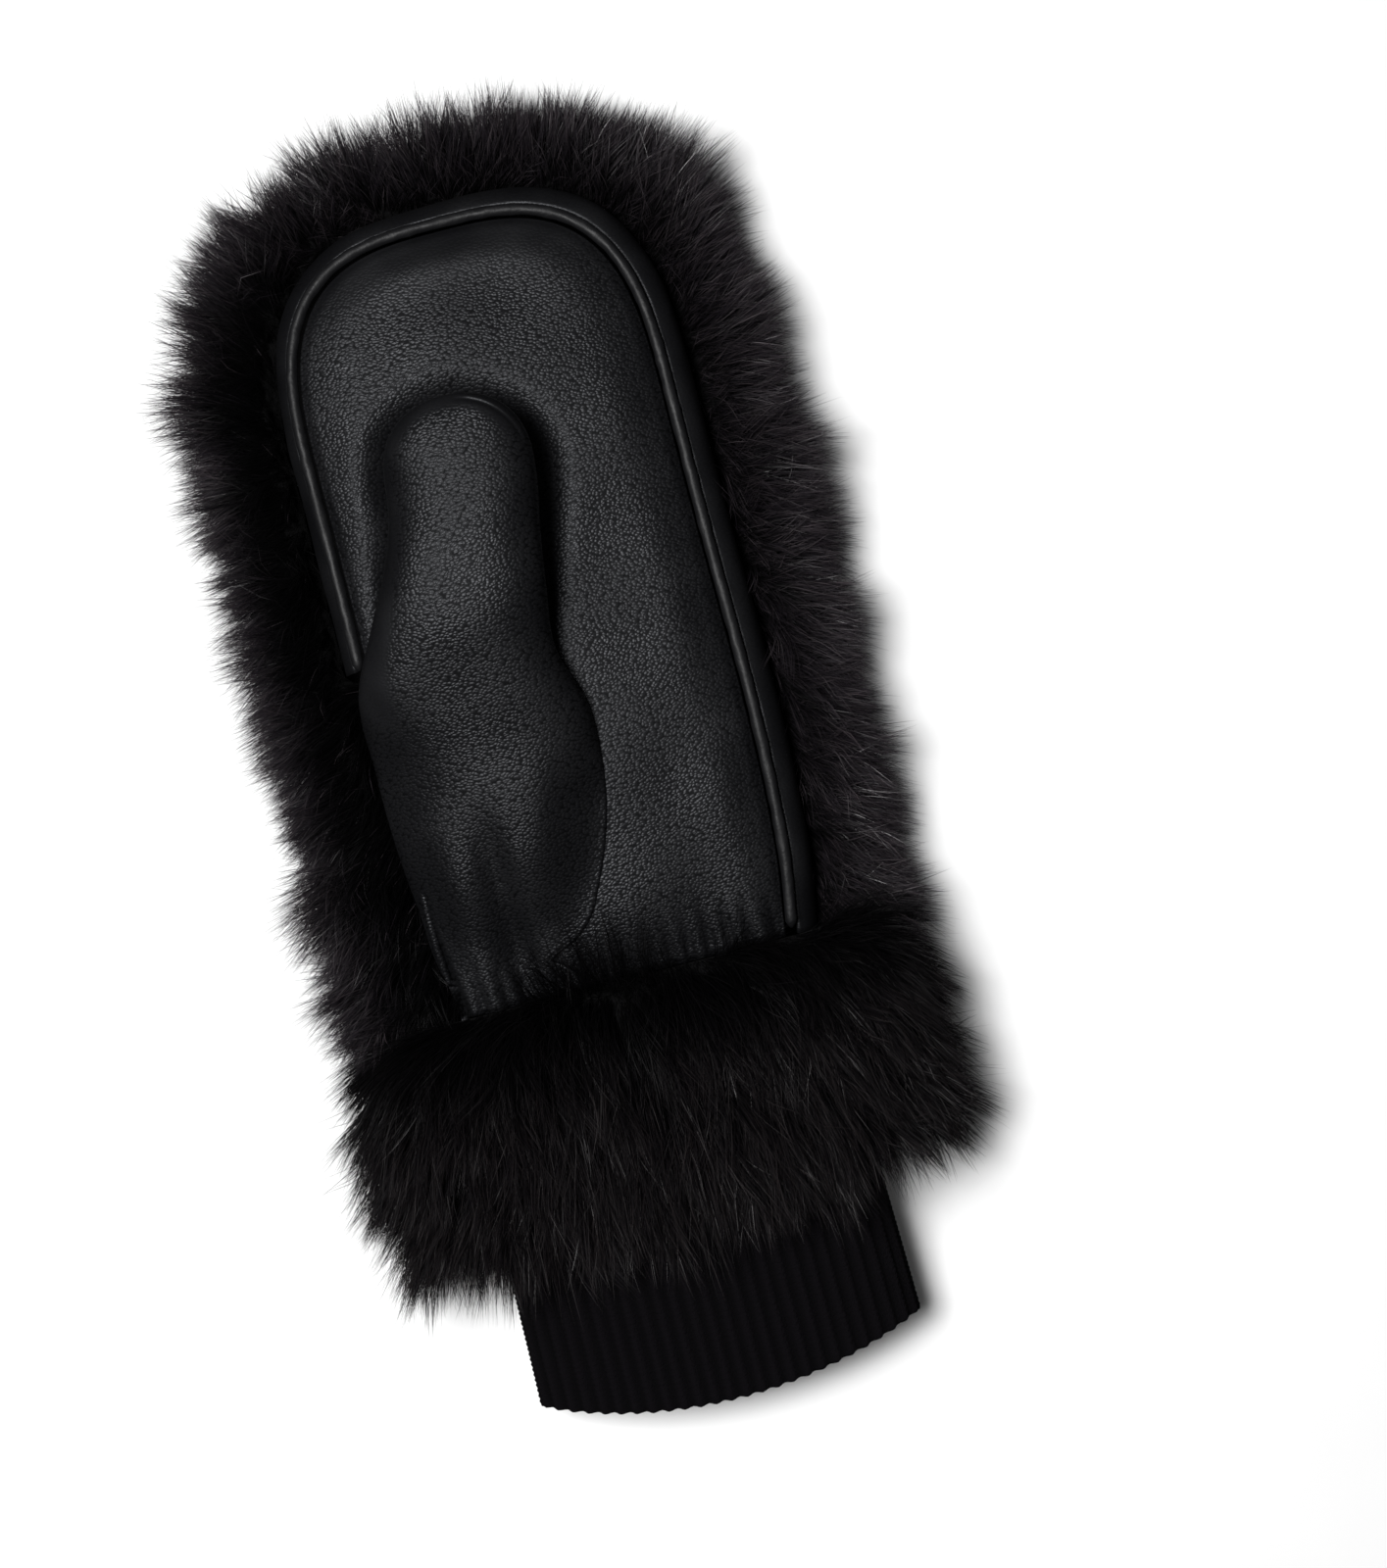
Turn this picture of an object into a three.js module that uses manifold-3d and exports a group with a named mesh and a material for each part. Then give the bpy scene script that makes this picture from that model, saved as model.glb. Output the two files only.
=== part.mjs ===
// A left-hand ski mitten lying on its furred back, palm up. The palm is leather with a piped edge and
// a side band, a hollow leather thumb lies over it, deep pile covers the back and the gauntlet, and a
// rib-knitted cuff comes out of the gauntlet. X runs across the hand with the thumb at -X, Y runs from
// the cuff to the fingertips, and +Z is up. While it is built, Y = 0 is the gathered wrist line and
// Z = 0 the surface that the mitten lies on. Millimetres.
import * as THREE from "three";
import { mergeVertices } from "three/addons/utils/BufferGeometryUtils.js";
import Module from "manifold-3d";

// Clearances
const GAP = 0.35; // between neighbouring pieces that are sewn to each other
const PILE_GAP = 0.6; // between the pile and the leather or knit that it grows beside

// Hand: the palm's piping line in plan, and how thick the hand is
const PALM_WIDTH = 98;
const PALM_LENGTH = 207.5; // wrist line to the top of the fingertip arch
const ARCH_LENGTH = 57.5; // how far below that top the sides start to turn in
const ARCH_POWER = 3; // superellipse power of the fingertip arch
const SPINE_LENGTH = 20; // how far the palm's middle line runs into the arch
const HAND_THICKNESS = 30; // underside of the back's cloth to the piping line
const CROWN_RISE = 6; // palm's middle above the piping line
const PALM_WALL = 2.6; // leather with its wadding
const THUMB_DENT = 3.2; // how deep the thumb presses the palm in
const THUMB_DENT_REACH = 20; // how far across the thumb's line that dent spreads

// Seam trim round the palm
const PIPING_DIAMETER = 3.4;
const PIPING_PROUD = 0.7; // piping's middle above the leather's edge
const BAND_WIDTH = 7.4; // side band seen from above
const BAND_DROP = 9;
const BAND_BEND = 1.35; // radians that it curves through
const BAND_WALL = 1.8;

// Back of the hand: cloth backing with deep pile
const REST_PILE = 10; // pile pressed flat between the back's cloth and the surface below
const BACKING_WALL = 2.5;
const MAT_REACH = 22; // dense underfur beyond the piping line
const FINGERTIP_MAT = 0.8; // share of that reach at the fingertips
const LOCK_LENGTH = 15; // locks from the underfur's surface
const LOCK_SINK = 6; // how far their feet go below it
const LOCK_WIDTH = 23;
const LOCK_THICKNESS = 13;
const LOCK_SPACING = 18;

// Thumb
const THUMB_START = 10.5; // wrist line to the foot of the thumb's leather
const THUMB_TIP = 162; // wrist line to the thumb's tip
const THUMB_WIDTH = 40;
const THUMB_DEPTH = 27;
const THUMB_WALL = 2.2;
const THUMB_POWER = 2.25; // superellipse power of its sections
const THUMB_TIP_LENGTH = 20; // rounded end
const THUMB_ROWS = 15; // sections along its outer form
const THUMB_POINTS = 20; // points round each
const THUMB_HOLE_LENGTH = 64; // opening in the palm under the thumb
const THUMB_HOLE_WIDTH = 28;
const CROTCH = 97; // wrist line to where the thumb's leather leaves the hand's edge

// Wrist, where an elastic gathers the leather
const GATHER_LENGTH = 10;
const PUCKERS = 14;
const PUCKER_RISE = 1.5;

// Gauntlet
const GAUNTLET_LENGTH = 64; // wrist line to the fur hem
const GAUNTLET_WIDTH = 144; // underfur to underfur
const GAUNTLET_HEIGHT = 54; // surface below to the top of the underfur
const GAUNTLET_HOLLOW = 112; // inside width
const GAUNTLET_HOLLOW_HEIGHT = 31;
const GAUNTLET_COLUMNS = 30;
const PILE_POWER = 2.7;

// Knitted cuff
const CUFF_WIDTH = 103; // across the rib crests at the seam
const CUFF_HEIGHT = 25;
const CUFF_SHOWN = 43; // fur hem to the knitted hem at its sides
const CUFF_TUCK = 12; // stretch inside the gauntlet
const CUFF_SAG = 9.5; // knitted hem's middle beyond its sides
const CUFF_HEM_SHARE = 1.03; // hem width as a share of the width at the seam
const CUFF_WALL = 1.9;
const CUFF_POWER = 2.6;
const CUFF_DROOP = 5; // hem's middle height below that of the seam
const RIBS = 54;
const RIB_RISE = 1.1;

// Shares of the hand's sizes along the palm's length. width: of the palm's width, depth: of the
// hand's thickness, crown: of the crown's rise.
const HAND_STATIONS = [
  { at: 0.0, width: 0.91, depth: 0.76, crown: 0.4 },
  { at: 0.12, width: 0.98, depth: 0.88, crown: 0.75 },
  { at: 0.3, width: 1.01, depth: 0.98, crown: 1.0 },
  { at: 0.55, width: 1.0, depth: 1.0, crown: 1.0 },
  { at: 0.8, width: 1.0, depth: 0.97, crown: 0.95 },
  { at: 1.0, width: 1.0, depth: 0.88, crown: 0.6 },
];

// The back's section from the side band round to the middle of the underside. pile: share of the way
// from the side band out to the mat's full reach; high: share of the piping line's height. wall: share
// of the side band's reach from the piping line, for the wall of the hollow; wallHigh: share of the
// height from the hollow's floor to the side band's lower edge. inward: share of the way to the middle.
const BACK_PROFILE = [
  { pile: 0.0, high: 0.86, wall: 1.0, wallHigh: 1.04, inward: 0.0 },
  { pile: 0.24, high: 1.03, wall: 0.99, wallHigh: 0.955, inward: 0.0 },
  { pile: 0.64, high: 1.03, wall: 0.76, wallHigh: 0.95, inward: 0.0 },
  { pile: 0.94, high: 0.84, wall: 0.78, wallHigh: 0.72, inward: 0.0 },
  { pile: 1.0, high: 0.52, wall: 0.77, wallHigh: 0.5, inward: 0.0 },
  { pile: 0.9, high: 0.2, wall: 0.72, wallHigh: 0.28, inward: 0.0 },
  { pile: 0.6, high: 0.0, wall: 0.55, wallHigh: 0.1, inward: 0.0 },
  { pile: 0.0, high: 0.0, wall: 0.2, wallHigh: 0.0, inward: 0.1 },
  { pile: 0.0, high: 0.0, wall: 0.0, wallHigh: 0.0, inward: 0.5 },
  { pile: 0.0, high: 0.0, wall: 0.0, wallHigh: 0.0, inward: 1.0 },
];

// The thumb's sections from its foot at the wrist to its tip. middle: share of half the palm's width,
// towards the little finger; half: share of the thumb's width; low and high: shares of the thumb's
// depth above the palm's crown line.
const THUMB_STATIONS = [
  { at: 0.0, middle: -0.6, half: 0.37, low: -0.86, high: -0.36 },
  { at: 0.08, middle: -0.6, half: 0.49, low: -0.84, high: 0.0 },
  { at: 0.24, middle: -0.58, half: 0.605, low: -0.74, high: 0.3 },
  { at: 0.41, middle: -0.547, half: 0.64, low: -0.66, high: 0.52 },
  { at: 0.53, middle: -0.522, half: 0.638, low: -0.46, high: 0.71 },
  { at: 0.635, middle: -0.388, half: 0.595, low: -0.07, high: 0.86 },
  { at: 0.735, middle: -0.286, half: 0.525, low: -0.05, high: 0.93 },
  { at: 0.84, middle: -0.206, half: 0.5, low: -0.03, high: 0.92 },
  { at: 1.0, middle: -0.184, half: 0.5, low: -0.02, high: 0.88 },
];

// The seam between the thumb's front and back halves, seen from the side. at: share of the thumb's
// reach from the wrist line; high: share of the thumb's depth above the palm's crown line.
const THUMB_SEAM = [
  { at: 0.36, high: -0.9 },
  { at: 0.46, high: -0.15 },
  { at: 0.56, high: 0.22 },
  { at: 0.67, high: 0.4 },
  { at: 1.2, high: 0.43 },
];

// Sections of the gauntlet from the wrist to the fur hem, as shares of its sizes.
const GAUNTLET_STATIONS = [
  { at: 0.0, width: 0.84, height: 0.74, hollow: 0.83, hollowHeight: 0.66 },
  { at: 0.05, width: 0.93, height: 0.89, hollow: 0.85, hollowHeight: 0.7 },
  { at: 0.2, width: 0.98, height: 0.98, hollow: 0.95, hollowHeight: 0.88 },
  { at: 0.45, width: 1.0, height: 1.0, hollow: 1.0, hollowHeight: 1.0 },
  { at: 0.75, width: 0.99, height: 0.98, hollow: 0.98, hollowHeight: 0.98 },
  { at: 0.93, width: 0.93, height: 0.9, hollow: 0.94, hollowHeight: 0.9 },
  { at: 1.0, width: 0.84, height: 0.78, hollow: 0.93, hollowHeight: 0.88 },
];

// Rows of locks down the side of the back: where on the pile, how far they point up, and their length
// as a share of the usual one.
const LOCK_ROWS = [
  { pile: 0.68, high: 1.0, up: 0.6, length: 1.1 },
  { pile: 0.95, high: 0.68, up: 0.18, length: 0.9 },
  { pile: 0.94, high: 0.28, up: -0.05, length: 0.85 },
];

// Rings of locks along the gauntlet: where, how far they stand off it at their feet and their tips,
// and their length as a share of the usual one.
const LOCK_RINGS = [
  { at: 0.1, rise: 0.3, flare: 0.02, length: 1.5 },
  { at: 0.48, rise: 0.3, flare: 0.02, length: 1.5 },
  { at: 0.9, rise: 0.25, flare: 0.08, length: 1.2 },
];

// Worked-out places
const FAR = 2 * PALM_LENGTH; // well past the mitten on every side
const HALF_PALM = PALM_WIDTH / 2;
const ARCH_FOOT = PALM_LENGTH - ARCH_LENGTH;
const PIPING_RADIUS = PIPING_DIAMETER / 2;
const SEAM_HALF = PIPING_RADIUS + GAP; // piping line to the leather on either side of it
const PILE_START = SEAM_HALF + BAND_WIDTH + GAP; // piping line to the pile beside the side band
const HOLLOW_FLOOR = REST_PILE + BACKING_WALL;
const PALM_CROWN = REST_PILE + HAND_THICKNESS + CROWN_RISE;
const CUFF_MIDDLE = HOLLOW_FLOOR + GAP + CUFF_HEIGHT / 2;
const ARCH_SHARE = 0.44; // share of each half of the hand's outline that is fingertip arch
const ARCH_COLUMNS = 16;
const CROTCH_RAMP = 0.95; // share of the crotch's place below which the pile's cloth is all the way in
const SIDE_COLUMNS = [0.14, 0.28, 0.42, (CROTCH_RAMP * CROTCH) / ARCH_FOOT, CROTCH / ARCH_FOOT, 0.82];

const wasm = await Module();
wasm.setup();

// A repeatable number from 0 to 1 for lock number n.
function scatter(n) {
  const x = Math.sin(n * 127.1 + 311.7) * 43758.5453;
  return x - Math.floor(x);
}

// A table's column at a share along it, on a smooth curve through its rows.
function follow(table, column, share) {
  const at = THREE.MathUtils.clamp(share, table[0].at, table.at(-1).at);
  const i = Math.max(1, table.findIndex((row) => row.at >= at));
  const [a, b] = [table[i - 1], table[i]];
  const [before, after] = [table[Math.max(i - 2, 0)], table[Math.min(i + 1, table.length - 1)]];
  const span = b.at - a.at;
  const slopeA = ((b[column] - before[column]) / (b.at - before.at)) * span;
  const slopeB = ((after[column] - a[column]) / (after.at - a.at)) * span;
  const t = (at - a.at) / span;
  const rise = b[column] - a[column];
  return a[column] + t * (slopeA + t * (3 * rise - 2 * slopeA - slopeB + t * (slopeA + slopeB - 2 * rise)));
}

// A solid from triangles, each three THREE.Vector3. Flat slivers between equal corners are dropped and
// the whole is turned to face outwards.
function solidOf(triangles) {
  const flat = new THREE.BufferGeometry().setFromPoints(triangles.flat());
  const merged = mergeVertices(flat, 1e-3);
  const corners = merged.index.array;
  const kept = [];
  for (let i = 0; i < corners.length; i += 3) {
    const [a, b, c] = [corners[i], corners[i + 1], corners[i + 2]];
    if (a !== b && b !== c && c !== a) kept.push([a, b, c]);
  }
  const places = merged.getAttribute("position");
  const corner = (i) => new THREE.Vector3().fromBufferAttribute(places, i);
  const volume = kept.reduce((sum, [a, b, c]) => sum + corner(a).dot(corner(b).cross(corner(c))), 0);
  const facing = volume < 0 ? kept.map(([a, b, c]) => [a, c, b]) : kept;
  return new wasm.Manifold(
    new wasm.Mesh({
      numProp: 3,
      vertProperties: Float32Array.from(places.array),
      triVerts: Uint32Array.from(facing.flat()),
    }),
  );
}

// A three.js geometry as a solid.
function solidFrom(geometry) {
  const plain = geometry.index ? geometry.toNonIndexed() : geometry;
  const places = plain.getAttribute("position");
  const corners = Array.from({ length: places.count }, (_, i) => new THREE.Vector3().fromBufferAttribute(places, i));
  return solidOf(Array.from({ length: corners.length / 3 }, (_, i) => corners.slice(3 * i, 3 * i + 3)));
}

// Two triangles for each cell of a grid of points.
function cells(grid) {
  const made = [];
  for (let i = 0; i + 1 < grid.length; i++)
    for (let j = 0; j + 1 < grid[i].length; j++) {
      const [a, b, c, d] = [grid[i][j], grid[i + 1][j], grid[i + 1][j + 1], grid[i][j + 1]];
      made.push([a, b, c], [a, c, d]);
    }
  return made;
}

// A closed wall between two grids of the same size. Its edges are closed where they are free: the
// first and last column unless the wall runs round, and the last row unless its halves meet there.
function wall(outer, inner, { around = false, meets = false } = {}) {
  const ends = [outer.map((column, i) => [inner[i][0], column[0]])];
  if (!meets) ends.push(outer.map((column, i) => [column.at(-1), inner[i].at(-1)]));
  if (!around) {
    ends.push(outer[0].map((_, j) => [outer[0][j], inner[0][j]]));
    ends.push(outer[0].map((_, j) => [inner.at(-1)[j], outer.at(-1)[j]]));
  }
  return solidOf([
    ...cells(outer),
    ...cells(inner).map(([a, b, c]) => [a, c, b]),
    ...ends.flatMap((strip) => cells(strip)),
  ]);
}

// Equal steps from 0 to 1, both ends included.
function range(steps) {
  return Array.from({ length: steps + 1 }, (_, i) => i / steps);
}

// A grid of points from the values along its columns and its rows.
function grid(columns, rows, point) {
  return columns.map((i) => rows.map((j) => point(i, j)));
}

// A round-cornered closed solid lofted through rings of points.
function loft(rings) {
  const cap = (ring) => ring.reduce((sum, p) => sum.add(p), new THREE.Vector3()).divideScalar(ring.length);
  const closed = rings.map((ring) => [...ring, ring[0]]);
  const [first, last] = [closed[0], closed.at(-1)];
  const [start, end] = [cap(rings[0]), cap(rings.at(-1))];
  const fans = [];
  for (let i = 0; i + 1 < first.length; i++) fans.push([start, first[i], first[i + 1]], [end, last[i + 1], last[i]]);
  return solidOf([...cells(closed), ...fans]);
}

// A block that reaches well past the mitten on every side but the given ones.
function slab({ low = [-FAR, -FAR, -FAR], high = [FAR, FAR, FAR] }) {
  const size = high.map((v, i) => v - low[i]);
  const block = new THREE.BoxGeometry(...size);
  block.translate(...low.map((v, i) => v + size[i] / 2));
  return solidFrom(block);
}

function largest(solid) {
  return solid.decompose().sort((a, b) => b.volume() - a.volume())[0];
}

// Hand outline: turn runs from -1 at the thumb side of the wrist through 0 at the fingertips to 1 at
// the little finger's side. out is the distance outside the piping line.
function outline(turn, out) {
  const side = Math.sign(turn);
  const half = HALF_PALM + out;
  const share = Math.abs(turn) / ARCH_SHARE;
  if (share >= 1) {
    const y = ARCH_FOOT * (1 - (Math.abs(turn) - ARCH_SHARE) / (1 - ARCH_SHARE));
    const narrowing = HALF_PALM * (1 - follow(HAND_STATIONS, "width", y / PALM_LENGTH));
    return { x: side * (half - narrowing), y, spine: y };
  }
  const angle = (Math.PI / 2) * (1 - share);
  const [c, s] = [Math.cos(angle), Math.sin(angle)];
  const reach = ((c / half) ** ARCH_POWER + (s / (ARCH_LENGTH + out)) ** ARCH_POWER) ** (-1 / ARCH_POWER);
  return { x: side * reach * c, y: ARCH_FOOT + reach * s, spine: ARCH_FOOT + SPINE_LENGTH * s };
}

// The turn of a place on the straight side at the little finger.
function turnOf(y) {
  return ARCH_SHARE + (1 - ARCH_SHARE) * (1 - y / ARCH_FOOT);
}

// The columns between two turns. They cross the sides at the same places for every piece of the hand.
function columnsBetween(from, to) {
  const side = SIDE_COLUMNS.map((share) => turnOf(share * ARCH_FOOT));
  const arch = Array.from({ length: ARCH_COLUMNS + 1 }, (_, i) => ARCH_SHARE * ((2 * i) / ARCH_COLUMNS - 1));
  const all = [...side.map((turn) => -turn), ...arch, ...side].sort((a, b) => a - b);
  return [from, ...all.filter((turn) => turn > from + 1e-6 && turn < to - 1e-6), to];
}

// A point of the hand's plan: out from the piping line, then a share of the way in to the middle line.
function plan(turn, out, inward) {
  const p = outline(turn, out);
  return { x: p.x * (1 - inward), y: THREE.MathUtils.lerp(p.y, p.spine, inward) };
}

// The level direction away from the hand at a turn.
function outward(turn) {
  const [near, far] = [outline(turn, 0), outline(turn, 1)];
  return new THREE.Vector3(far.x - near.x, far.y - near.y, 0).normalize();
}

function edgeHeight(y) {
  return REST_PILE + HAND_THICKNESS * follow(HAND_STATIONS, "depth", y / PALM_LENGTH);
}

function thumbMiddle(y) {
  return HALF_PALM * follow(THUMB_STATIONS, "middle", (y - THUMB_START) / (THUMB_TIP - THUMB_START));
}

// How far the thumb presses the palm in at a place.
function dent(x, y) {
  const across = (x - thumbMiddle(y)) / THUMB_DENT_REACH;
  const along = THREE.MathUtils.smoothstep(y, 0.45 * THUMB_TIP, 0.62 * THUMB_TIP);
  const past = Math.max(0, y - THUMB_TIP) / THUMB_DENT_REACH;
  return THUMB_DENT * along * Math.exp(-(across ** 2) - 6 * past ** 2);
}

// Height of the palm's outer surface without the thumb's dent.
function palmHeight(y, inward) {
  const dome = 1 - (1 - inward) ** 2.4;
  return edgeHeight(y) + CROWN_RISE * follow(HAND_STATIONS, "crown", y / PALM_LENGTH) * dome;
}

// The palm's outer surface, from its edge at the piping (inward 0) to the middle line (inward 1).
function palmPoint(turn, inward, out = -SEAM_HALF) {
  const { x, y } = plan(turn, out, inward);
  return new THREE.Vector3(x, y, palmHeight(y, inward) - dent(x, y) * Math.min(1, 3 * inward));
}

// The side band's outer surface, from the piping (down 0) to the pile (down 1).
function bandPoint(turn, down) {
  const bend = down * BAND_BEND;
  const { x, y } = plan(turn, SEAM_HALF + (BAND_WIDTH * Math.sin(bend)) / Math.sin(BAND_BEND), 0);
  const drop = (BAND_DROP * (1 - Math.cos(bend))) / (1 - Math.cos(BAND_BEND));
  return new THREE.Vector3(x, y, edgeHeight(y) - drop);
}

function palmSheet() {
  const end = turnOf(GATHER_LENGTH - 0.6);
  const outer = grid(columnsBetween(-end, end), range(5), palmPoint);
  const inner = outer.map((column) => column.map((p) => new THREE.Vector3(p.x, p.y, p.z - PALM_WALL)));
  return wall(outer, inner, { meets: true });
}

// The leather gathered at the wrist: a strip of puckers that takes in the palm's end.
function gather() {
  const half = HALF_PALM * HAND_STATIONS[0].width - SEAM_HALF;
  const side = (lift) =>
    grid(range(2 * PUCKERS), range(1), (i, j) => {
      const y = GAP / 2 + j * (GATHER_LENGTH - GAP / 2);
      const pucker = PUCKER_RISE * (Math.round(i * 2 * PUCKERS) % 2) * (1 - 0.8 * j);
      const middle = palmHeight(y, 1 - Math.abs(2 * i - 1)) - PALM_WALL / 2;
      return new THREE.Vector3((2 * i - 1) * half, y, middle + lift * (PALM_WALL / 2 + 0.3) + (lift > 0 ? pucker : 0));
    });
  return wall(side(1), side(-1));
}

function bandSheet() {
  const columns = columnsBetween(-turnOf(CROTCH), turnOf(GAP / 2));
  const outer = grid(columns, range(3), bandPoint);
  const inner = grid(columns, range(3), (turn, down) => {
    const p = bandPoint(turn, 0.95 * down).addScaledVector(outward(turn), -BAND_WALL * down);
    return p.setZ(p.z - BAND_WALL * (1 - down));
  });
  return wall(outer, inner);
}

// Everything below the palm's and the band's surfaces, raised by a clearance. Beside the thumb, where
// there is no band, it ends at the palm's edge.
function handCore(clearance) {
  const top = grid(columnsBetween(-1, 1), range(8), (turn, j) => {
    const row = Math.round(8 * j);
    const banded = turn > -turnOf(CROTCH) - 1e-6;
    const edge = banded ? bandPoint(turn, 1 - row / 3) : palmPoint(turn, 0, clearance - SEAM_HALF);
    const p = row <= 3 ? edge : palmPoint(turn, (row - 3) / 5);
    return p.setZ(p.z + clearance);
  });
  const bottom = top.map((column) => column.map((p) => new THREE.Vector3(p.x, p.y, -REST_PILE)));
  return wall(top, bottom, { meets: true });
}

// The thumb's outer form shrunk by inset, with so many sections and points round each.
function thumbForm(inset, rows, points) {
  const [start, end] = [THUMB_START + Math.max(0, inset), THUMB_TIP - inset];
  const bend = 1.35;
  const rings = Array.from({ length: rows + 1 }, (_, j) => {
    const y = THREE.MathUtils.lerp(start, end, Math.sin((j / rows) * bend) / Math.sin(bend));
    const at = (y - THUMB_START) / (THUMB_TIP - THUMB_START);
    const past = THREE.MathUtils.clamp((y - end) / THUMB_TIP_LENGTH + 1, 0, 0.985);
    const round = (1 - past ** THUMB_POWER) ** (1 / THUMB_POWER);
    const half = (THUMB_WIDTH * follow(THUMB_STATIONS, "half", at) - inset) * round;
    const low = PALM_CROWN + THUMB_DEPTH * follow(THUMB_STATIONS, "low", at) + inset;
    const high = PALM_CROWN + THUMB_DEPTH * follow(THUMB_STATIONS, "high", at) - inset;
    const sides = oval(half, (low + high) / 2, ((high - low) / 2) * (0.25 + 0.75 * round), THUMB_POWER);
    return Array.from({ length: points }, (_, i) => {
      const { x, z } = sides((i / points) * 2 * Math.PI);
      return new THREE.Vector3(thumbMiddle(y) + x, y, z);
    });
  });
  return loft(rings);
}

// Everything on one side of the thumb's seam: above it, or below it.
function besideSeam(side) {
  const line = THUMB_SEAM.map((p) => new THREE.Vector2(p.at * THUMB_TIP, PALM_CROWN + THUMB_DEPTH * p.high));
  const shifted = line.map((p) => new THREE.Vector2(p.x - (side * GAP) / 2, p.y + (side * GAP) / 2));
  const far = 4 * PALM_CROWN * side;
  const ends = [new THREE.Vector2(shifted.at(-1).x, far), new THREE.Vector2(shifted[0].x - 2 * THUMB_TIP, far)];
  const start = new THREE.Vector2(shifted[0].x - 2 * THUMB_TIP, shifted[0].y);
  if (side < 0) ends[1].x = shifted[0].x + 1;
  const shape = new THREE.Shape(side > 0 ? [start, ...shifted, ...ends] : [...shifted, ...ends]);
  const block = new THREE.ExtrudeGeometry(shape, { depth: 4 * PALM_WIDTH, bevelEnabled: false });
  const turned = new THREE.Matrix4().makeBasis(
    new THREE.Vector3(0, 1, 0),
    new THREE.Vector3(0, 0, 1),
    new THREE.Vector3(1, 0, 0),
  );
  return solidFrom(block.applyMatrix4(turned).translate(-2 * PALM_WIDTH, 0, 0));
}

// The opening in the palm under the thumb, as an oval plug.
function thumbHole() {
  const foot = THUMB_START + THUMB_HOLE_LENGTH / 2 + GATHER_LENGTH / 2;
  const shape = new THREE.Shape().absellipse(0, 0, THUMB_HOLE_WIDTH / 2, THUMB_HOLE_LENGTH / 2, 0, 2 * Math.PI);
  const plug = new THREE.ExtrudeGeometry(shape, { depth: 2 * HAND_THICKNESS, bevelEnabled: false, curveSegments: 5 });
  return solidFrom(plug.translate(thumbMiddle(foot), foot, HOLLOW_FLOOR));
}

// The piping: a leather-covered cord along the palm's edge, from the thumb round to the far wrist.
function pipingCord() {
  const [first, last] = [-turnOf(CROTCH), turnOf(GAP / 2 + PIPING_RADIUS)];
  const points = columnsBetween(first, last).map((turn) => {
    const { x, y } = outline(turn, 0);
    return new THREE.Vector3(x, y, edgeHeight(y) + PIPING_PROUD);
  });
  const corners = range(6).slice(0, 6).map((share) => {
    const angle = share * 2 * Math.PI;
    return new THREE.Vector2(PIPING_RADIUS * Math.cos(angle), PIPING_RADIUS * Math.sin(angle));
  });
  const path = new THREE.CatmullRomCurve3(points);
  const cord = new THREE.ExtrudeGeometry(new THREE.Shape(corners), { steps: 40, extrudePath: path, bevelEnabled: false });
  return solidFrom(cord);
}

// One tapering lock of pile, bent from its first direction to its second. Its foot is sunk in the
// underfur, and no part of it goes below the surface that the mitten lies on.
function lock(root, first, second, share, n) {
  const length = LOCK_LENGTH * share * (0.8 + 0.4 * scatter(n));
  const across = new THREE.Vector3().crossVectors(first, new THREE.Vector3(0, 0, 1)).normalize();
  const thick = new THREE.Vector3().crossVectors(across, first).normalize();
  const foot = root.clone().addScaledVector(first, -LOCK_SINK);
  const bend = root.clone().addScaledVector(first, 0.15 * length);
  const tip = bend.clone().addScaledVector(second, 0.85 * length);
  const turned = Math.PI / 2 + 0.9 * (scatter(n + 0.3) - 0.5);
  const ring = (centre, share) =>
    [0, 1, 2].map((i) => {
      const angle = turned + (i / 3) * 2 * Math.PI;
      const p = centre.clone().addScaledVector(across, (share * LOCK_WIDTH * Math.cos(angle)) / 2);
      p.addScaledVector(thick, (share * LOCK_THICKNESS * Math.sin(angle)) / 2);
      return p.setZ(Math.max(p.z, 0));
    });
  const [low, mid] = [ring(foot, 1), ring(bend, 0.76)];
  tip.setZ(Math.max(tip.z, 0.4));
  const sides = [0, 1, 2].flatMap((i) => {
    const k = (i + 1) % 3;
    return [[low[i], low[k], mid[k]], [low[i], mid[k], mid[i]], [mid[i], mid[k], tip]];
  });
  return solidOf([[low[0], low[2], low[1]], ...sides]);
}

// A point of the back's pile at a share of the mat's reach and of the piping line's height.
function pilePoint(turn, pile, high, inward = 0) {
  const tip = THREE.MathUtils.smoothstep(Math.abs(turn), 0.2 * ARCH_SHARE, ARCH_SHARE);
  const reach = MAT_REACH * THREE.MathUtils.lerp(FINGERTIP_MAT, 1, tip);
  const { x, y } = plan(turn, THREE.MathUtils.lerp(PILE_START, reach, pile), inward);
  return new THREE.Vector3(x, y, edgeHeight(y) * high);
}

// 1 beside the thumb, where there is no band, and 0 elsewhere.
function besideThumb(turn) {
  return THREE.MathUtils.smoothstep(-turn, turnOf(CROTCH), turnOf(CROTCH_RAMP * CROTCH));
}

// A point of the wall of the hand's hollow. Beside the thumb the pile's cloth goes up and in to the
// palm's edge.
function hollowPoint(turn, row) {
  const beside = besideThumb(turn);
  const out = PILE_START * row.wall * THREE.MathUtils.lerp(1, -0.12, beside);
  const { x, y } = plan(turn, out, row.inward);
  const top = edgeHeight(y) - BAND_DROP * THREE.MathUtils.lerp(1, 0.25, beside) - HOLLOW_FLOOR;
  return new THREE.Vector3(x, y, HOLLOW_FLOOR + top * row.wallHigh);
}

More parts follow.
